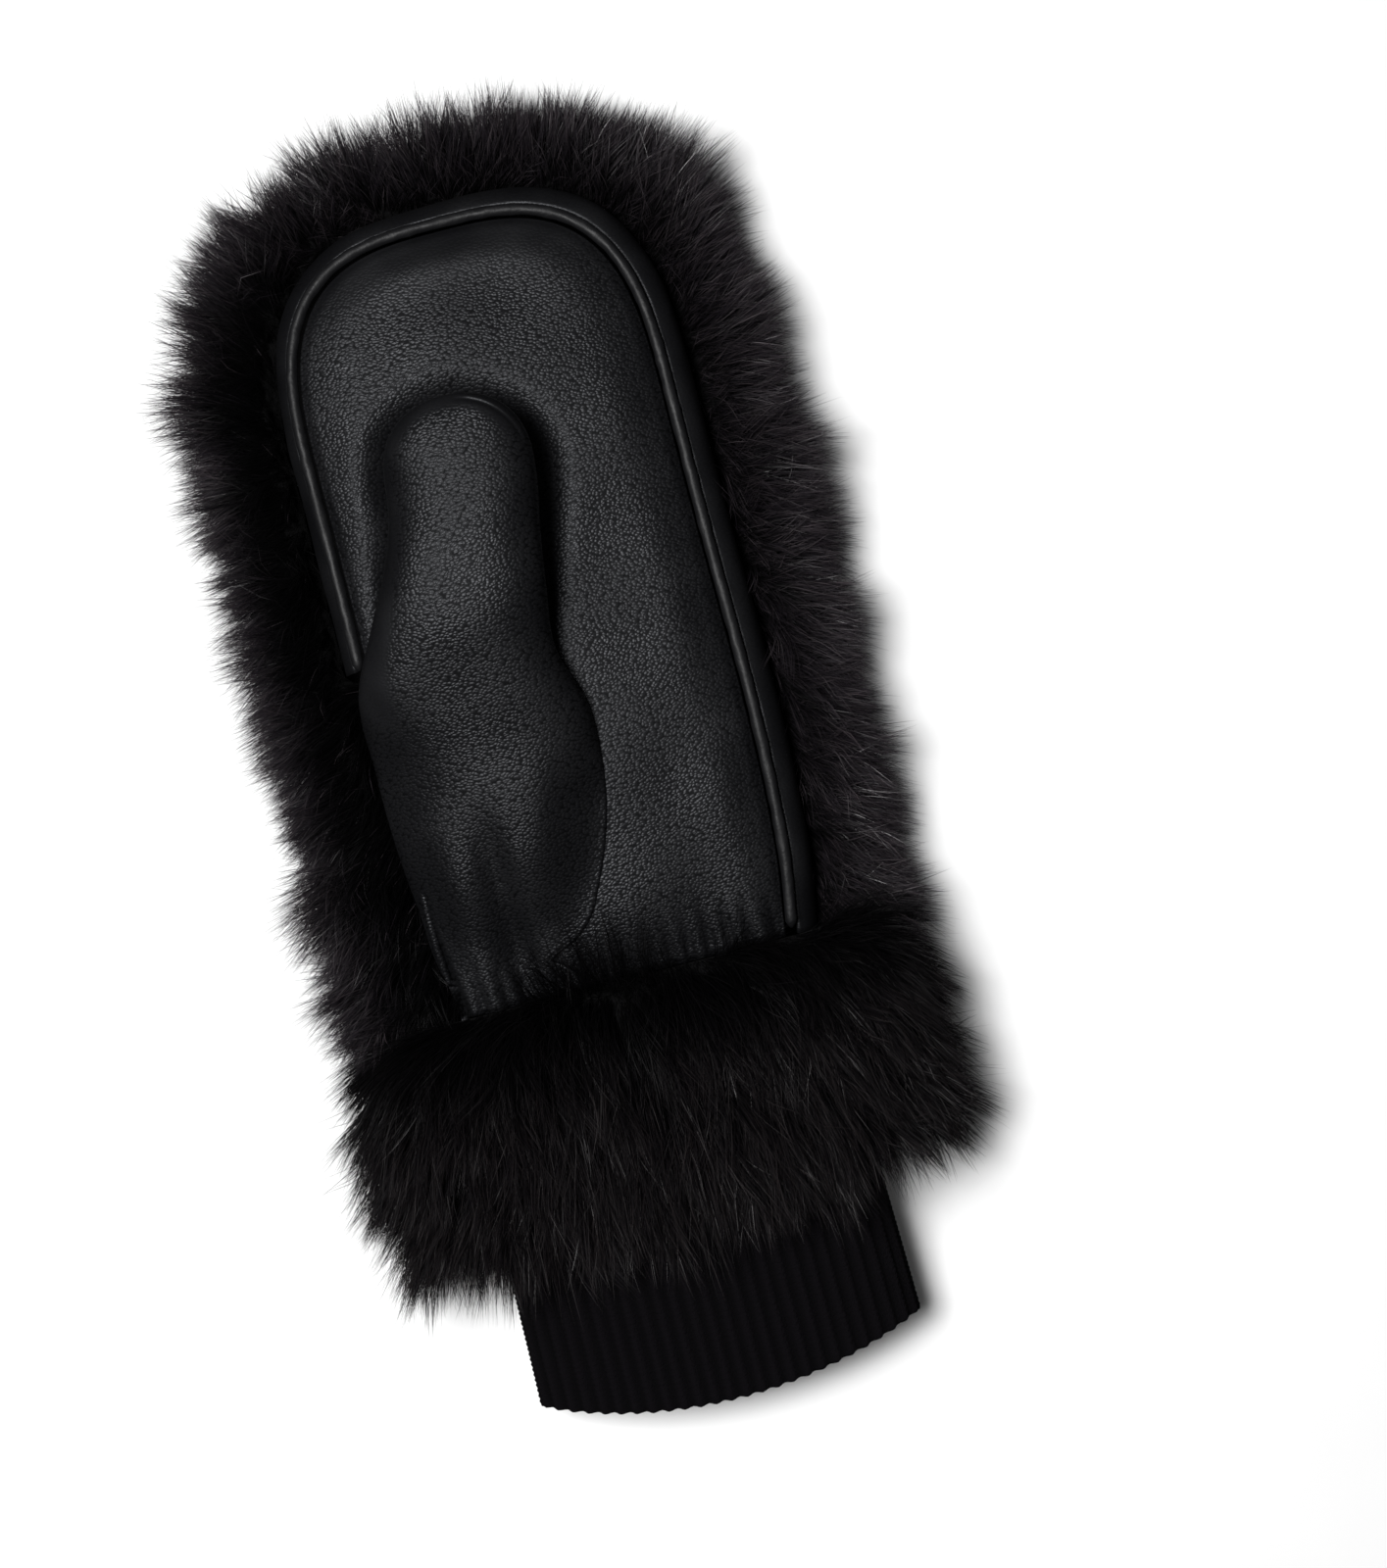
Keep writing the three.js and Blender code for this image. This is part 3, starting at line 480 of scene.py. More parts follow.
class Shader:
    """A node material under construction."""

    def __init__(self, name: str) -> None:
        """Starts a material with a Principled shader."""
        self.material = bpy.data.materials.new(name)
        self.material.use_nodes = True
        self.tree = self.material.node_tree
        self.surface = self.tree.nodes["Principled BSDF"]

    def node(self, kind: str, inputs: dict | None = None, **settings: object) -> bpy.types.Node:
        """Adds a node.

        Args:
            kind: its type without the ShaderNode prefix.
            inputs: values or sockets for its inputs, by name or number.
            settings: the node's own properties.

        Returns:
            The new node.
        """
        made = self.tree.nodes.new("ShaderNode" + kind)
        for key, value in settings.items():
            setattr(made, key, value)
        for key, value in (inputs or {}).items():
            self.feed(made.inputs[key], value)
        return made

    def feed(self, socket: bpy.types.NodeSocket, value: object) -> None:
        """Sets an input to a value, or links it to a socket."""
        if isinstance(value, bpy.types.NodeSocket):
            self.tree.links.new(value, socket)
        else:
            socket.default_value = value

    def math(self, operation: str, *values: object) -> bpy.types.NodeSocket:
        """A Math node's result."""
        made = self.node("Math", dict(enumerate(values)), operation=operation)
        return made.outputs[0]

    def ramp(
        self, value: object, low: float, high: float, start: float = 0.0, end: float = 1.0
    ) -> bpy.types.NodeSocket:
        """A value mapped smoothly from low..high to start..end."""
        made = self.node(
            "MapRange",
            {"Value": value, "From Min": low, "From Max": high, "To Min": start, "To Max": end},
            interpolation_type="SMOOTHSTEP",
        )
        return made.outputs[0]

    def mix(self, factor: object, a: object, b: object) -> bpy.types.NodeSocket:
        """Two colours mixed."""
        made = self.node("Mix", data_type="RGBA")
        for socket, value in ((made.inputs[0], factor), (made.inputs[6], a), (made.inputs[7], b)):
            self.feed(socket, value)
        return made.outputs[2]

    def bump(
        self, height: object, distance: float, strength: float = 1.0, normal: object = None
    ) -> bpy.types.NodeSocket:
        """A bumped normal."""
        inputs = {"Height": height, "Distance": distance, "Strength": strength}
        if normal is not None:
            inputs["Normal"] = normal
        return self.node("Bump", inputs).outputs[0]

    def dress(self, **inputs: object) -> bpy.types.Material:
        """Feeds the surface's sockets, with _ for a space, and hands the material over."""
        for key, value in inputs.items():
            self.feed(self.surface.inputs[key.replace("_", " ")], value)
        return self.material


@dataclass(frozen=True)
class LeatherFinish:
    """Soft black leather with a pebble grain."""

    name: str = "black_leather"
    colour: tuple = (0.0042, 0.0042, 0.0048, 1.0)
    dusty: tuple = (0.0065, 0.0065, 0.0072, 1.0)
    # Painted shade: the colour laid in the creases between the pebbles.
    crease_shade: tuple = (0.0012, 0.0012, 0.0014, 1.0)
    grain: float = 1.1
    grain_depth: float = 0.1
    grain_turn: float = 0.6
    grain_stretch: float = 1.45
    warp: float = 1.1
    smooth_share: float = 0.12
    roughness: float = 0.44
    rough_spread: float = 0.04
    shine: float = 0.225
    crease_shine: float = 0.4
    cool: tuple = (0.93, 0.95, 1.0, 1.0)

    def material(self) -> bpy.types.Material:
        """Pebbles by cells, with painted shade in the creases between them (a darker colour and
        less shine) and faint blotches. The piece's own grain attribute says how much of it shows."""
        s = Shader(self.name)
        place = s.node("TexCoord").outputs["Object"]
        warp = s.node("TexNoise", {"Vector": place, "Scale": 420.0, "Detail": 2.0})
        reach = (self.warp * MM,) * 3
        lean = s.node("VectorMath", {0: warp.outputs["Color"], 1: reach}, operation="MULTIPLY")
        bent = s.node("VectorMath", {0: place, 1: lean.outputs[0]}, operation="ADD")
        across, longer = (0, 0, self.grain_turn), (1.0, self.grain_stretch, 1.0)
        turned = s.node("Mapping", {"Vector": bent.outputs[0], "Rotation": across, "Scale": longer})
        cells = s.node(
            "TexVoronoi",
            {"Vector": turned.outputs[0], "Scale": 1000.0 / self.grain, "Randomness": 0.85},
            voronoi_dimensions="2D",
            feature="F1",
        )
        pebbles = s.ramp(cells.outputs[0], 0.05, 0.7, 1.0, 0.0)
        net = s.ramp(cells.outputs[0], 0.42, 0.74)
        broad = s.node("TexNoise", {"Vector": place, "Scale": 60.0, "Detail": 1.0})
        grain = s.node("Attribute", attribute_name="grain").outputs["Fac"]
        keep = s.ramp(grain, 0, 1, self.smooth_share, 1)
        bumped = s.bump(s.math("MULTIPLY", pebbles, keep), self.grain_depth * MM)
        rolling = s.bump(broad.outputs[0], 0.0008, 0.35, bumped)
        least, most = self.roughness - self.rough_spread, self.roughness + self.rough_spread
        rough = s.ramp(broad.outputs[0], 0.3, 0.7, least, most)
        sunk = s.math("MULTIPLY", net, keep)
        body = s.mix(s.ramp(broad.outputs[0], 0.35, 0.75), self.colour, self.dusty)
        # Painted shade in the creases: the net darkens the colour and lowers the shine.
        return s.dress(
            Base_Color=s.mix(sunk, body, self.crease_shade),
            Roughness=s.math("MULTIPLY_ADD", sunk, 0.2, rough),
            Normal=rolling,
            Specular_IOR_Level=s.ramp(sunk, 0.0, 1.0, self.shine, self.crease_shine * self.shine),
            Specular_Tint=self.cool,
        )


@dataclass(frozen=True)
class CordFinish:
    """Smooth leather drawn tight over a cord."""

    name: str = "piping_leather"
    colour: tuple = (0.005, 0.005, 0.0057, 1.0)
    roughness: tuple[float, float] = (0.49, 0.57)
    shine: float = 0.25

    def material(self) -> bpy.types.Material:
        """Fine creases and a satin surface."""
        s = Shader(self.name)
        place = s.node("TexCoord").outputs["Object"]
        creases = s.node("TexNoise", {"Vector": place, "Scale": 900.0, "Detail": 3.0})
        broad = s.node("TexNoise", {"Vector": place, "Scale": 150.0, "Detail": 2.0})
        return s.dress(
            Base_Color=self.colour,
            Roughness=s.ramp(broad.outputs[0], 0.3, 0.7, *self.roughness),
            Specular_IOR_Level=self.shine,
            Normal=s.bump(creases.outputs[0], 0.00025, 0.5),
        )


@dataclass(frozen=True)
class StrandFinish:
    """Fine shining fibres, darker at the root."""

    name: str = "fur_strands"
    root: tuple = (0.0008, 0.0007, 0.0009, 1.0)
    tip: tuple = (0.0145, 0.0115, 0.0155, 1.0)
    brown: tuple = (0.085, 0.069, 0.076, 1.0)
    roughness: tuple[float, float] = (0.55, 0.42)
    shine: float = 0.6

    def material(self) -> bpy.types.Material:
        """Colour from each strand's random lightness, darkened where shade is painted on it, and from the
        place along it.
        """
        s = Shader(self.name)
        tone_and_shade = s.node("Attribute", attribute_name="tone_and_shade").outputs["Fac"]
        along = s.node("Attribute", attribute_name="along").outputs["Fac"]
        lit = s.mix(tone_and_shade, self.tip, self.brown)
        return s.dress(
            Base_Color=s.mix(s.ramp(along, 0.2, 1.0), self.root, lit),
            Roughness=s.ramp(tone_and_shade, 0.0, 1.0, *self.roughness),
            Specular_IOR_Level=s.ramp(tone_and_shade, 0.0, 0.8, 0.25 * self.shine, self.shine),
        )


@dataclass(frozen=True)
class UnderfurFinish:
    """The dense dark wool below the strands."""

    name: str = "fur_underfur"
    colour: tuple = (0.0018, 0.0016, 0.002, 1.0)
    # Painted shade: the colour in the hollows of the wool's bump.
    deep: tuple = (0.0008, 0.0007, 0.0009, 1.0)

    def material(self) -> bpy.types.Material:
        """Dull fibres by a fine noise, with painted shade where its bump sinks."""
        s = Shader(self.name)
        place = s.node("TexCoord").outputs["Object"]
        wool = s.node("TexNoise", {"Vector": place, "Scale": 700.0, "Detail": 5.0, "Roughness": 0.7})
        return s.dress(
            Base_Color=s.mix(wool.outputs[0], self.deep, self.colour),
            Roughness=0.95,
            Normal=s.bump(wool.outputs[0], 0.0015, 1.0),
            Specular_IOR_Level=0.15,
        )


@dataclass(frozen=True)
class KnitFinish:
    """Blue-black wool yarn."""

    name: str = "rib_knit"
    colour: tuple = (0.0034, 0.0028, 0.0038, 1.0)
    # Painted shade: the colour in the hollows between the ribs.
    deep: tuple = (0.0014, 0.0012, 0.0016, 1.0)

    def material(self) -> bpy.types.Material:
        """Fuzzy yarn, with painted shade in the hollows between the ribs."""
        s = Shader(self.name)
        place = s.node("TexCoord").outputs["Object"]
        fuzz = s.node("TexNoise", {"Vector": place, "Scale": 1500.0, "Detail": 4.0, "Roughness": 0.7})
        raised = s.node("Attribute", attribute_name="raised").outputs["Fac"]
        return s.dress(
            Base_Color=s.mix(raised, self.deep, self.colour),
            Roughness=0.88,
            Normal=s.bump(fuzz.outputs[0], 0.0009, 0.9),
            Specular_IOR_Level=0.06,
        )


def set_attribute(piece: bpy.types.Object, name: str, values: Array) -> None:
    """Stores a number on each of a piece's vertices."""
    made = piece.data.attributes.new(name, "FLOAT", "POINT")
    made.data.foreach_set("value", np.asarray(values, np.float32))


def vertices(piece: bpy.types.Object) -> Array:
    """A piece's vertices in the sewing frame, in millimetres."""
    flat = np.empty(3 * len(piece.data.vertices), np.float32)
    piece.data.vertices.foreach_get("co", flat)
    return (flat.reshape(-1, 3) - ORIGIN) * 1000


@dataclass
class LeatherHand:
    """The palm with its gathered wrist, the side band, the piping and the two halves of the thumb."""

    leather: LeatherFinish = field(default_factory=LeatherFinish)
    cord: CordFinish = field(default_factory=CordFinish)
    hem: float = 0.2
    puckers: int = 17
    pucker_rise: float = 2.2
    pucker_wander: Waves = Waves(0.6, 30.0, 5)
    gather_length: float = 17.0
    gather_sink: float = 0.8
    palm_wall: float = 2.4
    palm_puff: Fold = Fold(38.0, 9.0, -1.1)
    palm_tuck: Fold = Fold(HAND.half, 1.6, 0.9)
    palm_waves: Waves = Waves(0.35, 42.0, 3)
    band_wall: float = 1.7
    band_width: tuple[float, float] = (3.2, 5.6)
    band_bend: tuple[float, float] = (0.85, 0.14)
    band_step: tuple[float, float] = (2.4, 1.3)
    band_drop: float = 8.5
    band_tuck: float = 0.5
    band_waves: Waves = Waves(0.25, 26.0, 8)
    piping_radius: float = 1.6
    piping_proud: float = 0.6
    piping_waves: Waves = Waves(0.05, 7.0, 11)
    thumb_wall: float = 2.0
    thumb_foot: float = 0.5
    thumb_waves: Waves = Waves(0.45, 38.0, 21)
    ball_left: tuple[float, float] = (29.0, 33.0)
    ball_over: tuple[float, float] = (-1.3, 0.9)
    ball_overhang: float = 1.5
    ball_fall: float = 2.0
    ball_soft: float = 1.2
    cap_seam: Fold = Fold(18.3, 0.5, 0.6)
    back_start: float = 70.0

    def build(self) -> None:
        """Makes every leather piece."""
        material = self.leather.material()
        self.palm(material)
        self.band(material)
        self.piping(self.cord.material())
        self.thumb_front(material)
        self.thumb_back(material)

    def gathers(self, x: Array, y: Array) -> Array:
        """How far the elastic at the wrist draws the leather down in puckers."""
        near = 1 - ease(y, 0, self.gather_length)
        wander = self.pucker_wander.at(stack(x))
        ridge = np.abs(np.sin(x / HAND.half * self.puckers * math.pi / 2 + wander))
        return self.pucker_rise * near * (1 - ridge) + self.gather_sink * near**2

    def palm(self, material: bpy.types.Material) -> None:
        """The padded palm: it puffs up beside the piping and gathers at the wrist."""
        end = HAND.turn_of(self.hem)

        def place(u: Array, v: Array) -> Array:
            x, y, spine = HAND.outline(end * (2 * u - 1), -HAND.seam_half)
            inward = v**1.3
            x, y = x * (1 - inward), blend(y, spine, inward)
            edge = (1 - inward) * HAND.half
            z = HAND.palm(x, y, inward) - self.palm_puff.sink(edge) - self.palm_tuck.sink(edge)
            z = z + self.palm_waves.at(stack(x, y)) * ease(inward, 0, 0.3)
            return stack(x, y, z - self.gathers(x, y))

        piece = as_object(Panel(240, 44, place, upward).mesh(), "palm_leather", material)
        fingertips = ease(vertices(piece)[:, 1], 175, 205)
        set_attribute(piece, "grain", 1 - 0.75 * fingertips)
        thicken(piece, self.palm_wall)
        settle(piece, Slot.LEATHER, "palm_panel")

    def band(self, material: bpy.types.Material) -> None:
        """The leather strip that turns down from the piping to the pile."""
        first, last = -HAND.turn_of(HAND.crotch), HAND.turn_of(self.hem)

        def place(u: Array, v: Array) -> Array:
            turn = blend(first, last, u)
            open_side = ease(turn, -0.4, 0.1)
            start, step = blend(*self.band_bend, open_side), blend(*self.band_step, open_side)
            bend = blend(start, 1.5, v)
            across = blend(*self.band_width, open_side) * (np.sin(bend) - np.sin(start)) / (1 - np.sin(start))
            x, y, _ = HAND.outline(turn, HAND.seam_half - self.band_tuck + across)
            drop = step + self.band_drop * (np.cos(start) - np.cos(bend)) / np.cos(start)
            puff = self.band_waves.at(stack(turn * HAND.run, v * 8))
            out = HAND.outward(turn) * (0.4 * puff)[..., None]
            return stack(x, y, HAND.edge(y) - drop) + out + stack(0.0, 0.0, 0.6 * puff)

        piece = as_object(Panel(260, 9, place, upward).mesh(), "side_band_leather", material)
        set_attribute(piece, "grain", np.full(len(piece.data.vertices), 0.3))
        thicken(piece, self.band_wall)
        settle(piece, Slot.LEATHER, "side_band")

    def piping(self, material: bpy.types.Material) -> None:
        """The leather-covered cord in the seam."""
        first, last = -HAND.turn_of(HAND.crotch), HAND.turn_of(2.2)

        def place(u: Array, v: Array) -> Array:
            turn, angle = blend(first, last, u), v * 2 * math.pi
            x, y, _ = HAND.outline(turn, 0.0)
            waves = self.piping_waves.at(stack(turn * HAND.run, 6 * np.cos(angle)))
            radius = self.piping_radius * (1 + waves)
            ends = np.minimum(ease(u, 0, 0.004), ease(1 - u, 0, 0.004))
            radius = radius * (0.2 + 0.8 * ends)
            middle = stack(x, y, HAND.edge(y) + self.piping_proud)
            out = HAND.outward(turn) * (radius * np.cos(angle))[..., None]
            return middle + out + stack(0.0, 0.0, radius * np.sin(angle))

        made = Panel(420, 14, place, upward).mesh()
        bmesh.ops.holes_fill(made, edges=[e for e in made.edges if e.is_boundary], sides=0)
        bmesh.ops.recalc_face_normals(made, faces=made.faces)
        piece = as_object(made, "piping_cord", material)
        settle(piece, Slot.PIPING, "piping")

    def thumb_point(self, u: Array, y: Array, left: Array, right: Array, above: bool) -> Array:
        """A point of the thumb's surface.

        Args:
            u: share of the way across, from the left edge to the right.
            y: place along the thumb.
            left: height of the left edge.
            right: height of the right edge.
            above: over the top, or under it.

        Returns:
            The point in the sewing frame.
        """
        half, middle, rise = THUMB.section(y)
        power = THUMB.power(y)

        def edge_angle(height: Array) -> Array:
            level = np.clip((height - middle) / np.maximum(rise, 1e-6), -1, 1)
            return np.arcsin(np.sign(level) * np.abs(level) ** (power / 2))

        first, last = math.pi - edge_angle(left), edge_angle(right)
        if not above:
            last = last + 2 * math.pi
        across, up = oval(blend(first, last, u), power)
        tilt = THUMB.tilt * half * across * ease(y, *THUMB.tilt_ends)
        skew = THUMB.skew * np.maximum(up, 0) * (1 - ease(y, *THUMB.skew_ends))
        return stack(THUMB.middle(y) + half * across + skew, y, middle + rise * up + tilt)

    def lay(self, u: Array, x: Array, y: Array, z: Array) -> Array:
        """Height of the thumb once its ball lies on the palm and hangs over the palm's left edge."""
        reach = HAND.reach(y)
        ground = HAND.palm(x, y, np.clip(1 - np.abs(x) / reach, 0, 1))
        ground = ground + blend(*self.ball_over, ease(1 - u, 0, 0.07))
        ground = ground - self.ball_fall * np.maximum(0, -x - reach + self.ball_overhang)
        flank = ease(THUMB.middle(y) + THUMB.section(y)[0] - x, -4, 19)
        laid = ground + self.ball_soft * np.logaddexp(0, (z - ground) / self.ball_soft) * flank
        z = np.where(y < 66, blend(z, laid, 1 - ease(y, 44, 66)), z)
        foot = 1 - ease(y, 8, 46)
        return blend(z - HAND.fold(x, y), ground, foot**1.5 * 0.95)

    def thumb_front(self, material: bpy.types.Material) -> None:
        """The thumb's upper half and the ball of the thumb."""
        core_end = THUMB.tip - THUMB.tip_length

        def place(u: Array, v: Array) -> Array:
            y = THUMB.rows(self.thumb_foot, v)
            seam = THUMB.seam(y)
            beside = HAND.palm(THUMB.middle(y) + 22, y, 0.6) - 1.2
            left = np.maximum(seam, blend(*self.ball_left, ease(y, 0, 60)))
            p = self.thumb_point(u, y, left, np.maximum(seam, beside), True)
            x = p[:, 0]
            z = p[:, 2] + self.thumb_waves.at(p) * ease(v, 0, 0.3) * (1 - ease(v, 0.93, 1))
            z = self.lay(u, x, y, z) - self.gathers(x, y)
            over, on = x - THUMB.middle(y), y - core_end
            seam_share = ease(on, 0, 7) * ease(over, 1, 8)
            return stack(x, y, z - seam_share * self.cap_seam.sink(np.hypot(over, on)))

        piece = as_object(Panel(70, 150, place, upward).mesh(), "thumb_front_leather", material)
        x, y, _ = vertices(piece).T
        side = ease((THUMB.middle(y) - x) / 24, 0.66, 0.78) * ease(y, 70, 90)
        cap = ease(np.hypot(x - THUMB.middle(y) + 1, y - core_end), 15, 17.5) * ease(y, 142, 150)
        set_attribute(piece, "grain", 1 - 0.8 * np.maximum(side, cap))
        thicken(piece, self.thumb_wall)
        settle(piece, Slot.LEATHER, "thumb_front")

    def thumb_back(self, material: bpy.types.Material) -> None:
        """The lower half of the free thumb."""

        def place(u: Array, v: Array) -> Array:
            y = THUMB.rows(self.back_start, v)
            seam = THUMB.seam(y) - 0.2
            return self.thumb_point(u, y, seam, seam, False)

        piece = as_object(Panel(40, 80, place, downward).mesh(), "thumb_back_leather", material)
        set_attribute(piece, "grain", np.full(len(piece.data.vertices), 0.8))
        thicken(piece, self.thumb_wall)
        settle(piece, Slot.LEATHER, "thumb_back")


@dataclass
class Roots:
    """Where strands grow: place, the way out of the cloth, the way they are combed, length and how
    light their tips are, which is below 1 where shade is painted on them."""

    place: Array
    out: Array
    nap: Array
    length: Array
    light: Array


@dataclass
class Strands:
    """Strands of pile, combed and drawn together in wisps and tufts. Sizes are in millimetres, and
    the rest are shares of a strand's own length or way."""

    seed: int
    tuft: float = 5.2
    wisp: float = 1.2
    tuft_pull: float = 0.68
    wisp_pull: float = 0.9
    closeness: float = 0.88
    evened: float = 0.8
    width: float = 0.26
    widths: tuple[float, float] = (0.5, 1.3)
    taper: tuple[float, float, float] = (1.0, 0.85, 0.55)
    twist: float = 0.8
    stray: float = 0.33
    wisp_stray: float = 0.6
    own_stray: float = 0.07
    loose_stray: float = 0.3
    droop: float = 0.25
    flyaway: float = 0.1
    tone_power: float = 3.2

    def path(self, roots: Roots, stray: Array, share: Array) -> Array:
        """Points along each strand, which bends from the way out to the way it is combed."""
        step = roots.length[:, None] / (len(share) - 1)
        at = roots.place.copy()
        points = [at]
        for t in share[1:]:
            way = roots.out * (1 - 0.75 * t) + roots.nap * (0.35 + 0.65 * t) + stray * (0.4 + 0.6 * t)
            way = way - np.array([0, 0, self.droop * t * t])
            at = at + unit(way) * step
            points.append(at)
        return np.stack(points, axis=1)

    def comb(self, roots: Roots) -> Array:
        """The strands' points, drawn together in wisps and the wisps in tufts.

        Args:
            roots: where the strands grow.

        Returns:
            An array of strands by points by coordinates, in the sewing frame.
        """
        rng = np.random.default_rng(self.seed)
        count = len(roots.place)
        share = np.linspace(0, 1, 4)
        free = rng.random(count) < self.flyaway
        tufts, wisps = self.leaders(roots, self.tuft, rng), self.leaders(roots, self.wisp, rng)
        stray = rng.normal(0, self.stray, (count, 3))[tufts]
        stray = stray + rng.normal(0, self.wisp_stray * self.stray, (count, 3))[wisps]
        own = np.where(free, self.loose_stray, self.own_stray)
        stray = stray + rng.normal(0, 1, (count, 3)) * own[:, None]
        points = self.path(roots, stray, share)
        for leaders, pull in ((tufts, self.tuft_pull), (wisps, self.wisp_pull)):
            pull = pull * rng.beta(3.0, 1.0, count) * ~free
            points = self.draw_in(points, roots, leaders, pull, share)
        points[..., 2] = np.maximum(points[..., 2], 0.2 + 0.5 * rng.random((count, 1)))
        return points

    def leaders(self, roots: Roots, size: float, rng: np.random.Generator) -> Array:
        """The strand that leads each strand's group, with leaders about a size apart."""
        taken: dict[tuple[int, int, int], int] = {}
        for i in rng.permutation(len(roots.place)):
            taken.setdefault(tuple((roots.place[i] // size).astype(int)), i)
        chosen = list(taken.values())
        tree = KDTree(len(chosen))
        for i in chosen:
            tree.insert(roots.place[i], i)
        tree.balance()
        return np.array([tree.find(place)[1] for place in roots.place])

    def draw_in(self, points: Array, roots: Roots, leaders: Array, pull: Array, share: Array) -> Array:
        """Bends the strands towards their leaders, more and more to the tip."""
        near = share[None, :, None] ** 1.2
        apart = roots.place - roots.place[leaders]
        together = points[leaders] + apart[:, None, :] * (1 - self.closeness * near)
        length = blend(1.0, (roots.length / roots.length[leaders])[:, None, None], self.evened)
        together = roots.place[:, None] + (together - roots.place[:, None]) * length
        return blend(points, together, pull[:, None, None] * near**0.5)

    def mesh(self, name: str, roots: Roots, material: bpy.types.Material) -> bpy.types.Object:
        """All strands as one object: flat tapering ribbons, each of two four-sided faces and a tip."""
        rng = np.random.default_rng(self.seed + 1)
        points = self.comb(roots)
        count = len(points)
        facing = unit(roots.out + rng.normal(0, self.twist, (count, 3)))
        across = unit(np.cross(np.gradient(points, axis=1), facing[:, None, :]))
        half = self.width / 2 * rng.uniform(*self.widths, count)[:, None, None]
        half = half * np.array(self.taper)[None, :, None]
        left, right = points[:, :3] - across[:, :3] * half, points[:, :3] + across[:, :3] * half
        sides = np.stack([left, right], axis=2).reshape(count, 6, 3)
        spots = np.concatenate([sides, points[:, 3:]], axis=1)
        heights = np.array([0, 0, 1, 1, 2, 2, 3]) / 3
        dots = len(heights)
        corners = np.array([0, 1, 3, 2, 2, 3, 5, 4, 4, 5, 6])
        faces = np.array([0, 4, 8])
        strand = np.arange(count)[:, None]
        data = bpy.data.meshes.new(name)
        data.vertices.add(dots * count)
        data.loops.add(len(corners) * count)
        data.polygons.add(len(faces) * count)
        data.vertices.foreach_set("co", to_metres(spots).astype(np.float32).ravel())
        data.loops.foreach_set("vertex_index", (dots * strand + corners).astype(np.int32).ravel())
        data.polygons.foreach_set("loop_start", (len(corners) * strand + faces).astype(np.int32).ravel())
        data.update(calc_edges=True)
        data.validate()
        piece = dressed(data, material)
        # The roots' light carries painted shade: it darkens each strand and keeps a shaded one near its root
        # colour.
        tone_and_shade = rng.random(count) ** self.tone_power * roots.light
        set_attribute(piece, "tone_and_shade", np.repeat(tone_and_shade, dots))
        set_attribute(piece, "along", np.outer(roots.light, heights).ravel())
        return piece


def spread(rng: np.random.Generator, area: Array, count: int) -> Array:
    """Which of many random places to keep, so that they lie evenly on the cloth."""
    kept = rng.random(len(area)) < area / np.quantile(area, 0.97)
    return np.flatnonzero(kept)[:count]


class PileRow(NamedTuple):
    """A row of the pile's section round the hand: how far out of the piping line and how high its
    cloth is, and which way the strands leave it."""

    at: float
    out: float
    high: float
    lift: float
    length: float


# Round the hand from beside the side band, over the edge and down to the surface below. high is a
# share of the piping line's height, and lift the strands' angle above the level, in degrees.
PILE_ROWS = (
    PileRow(0.0, 6.6, 0.45, 84.0, 12.0),
    PileRow(0.2, 10.0, 0.62, 66.0, 18.0),
    PileRow(0.42, 14.5, 0.7, 42.0, 22.0),
    PileRow(0.62, 17.0, 0.56, 17.0, 22.0),
    PileRow(0.82, 16.5, 0.32, -2.0, 20.0),
    PileRow(1.0, 12.0, 0.06, -10.0, 20.0),
)


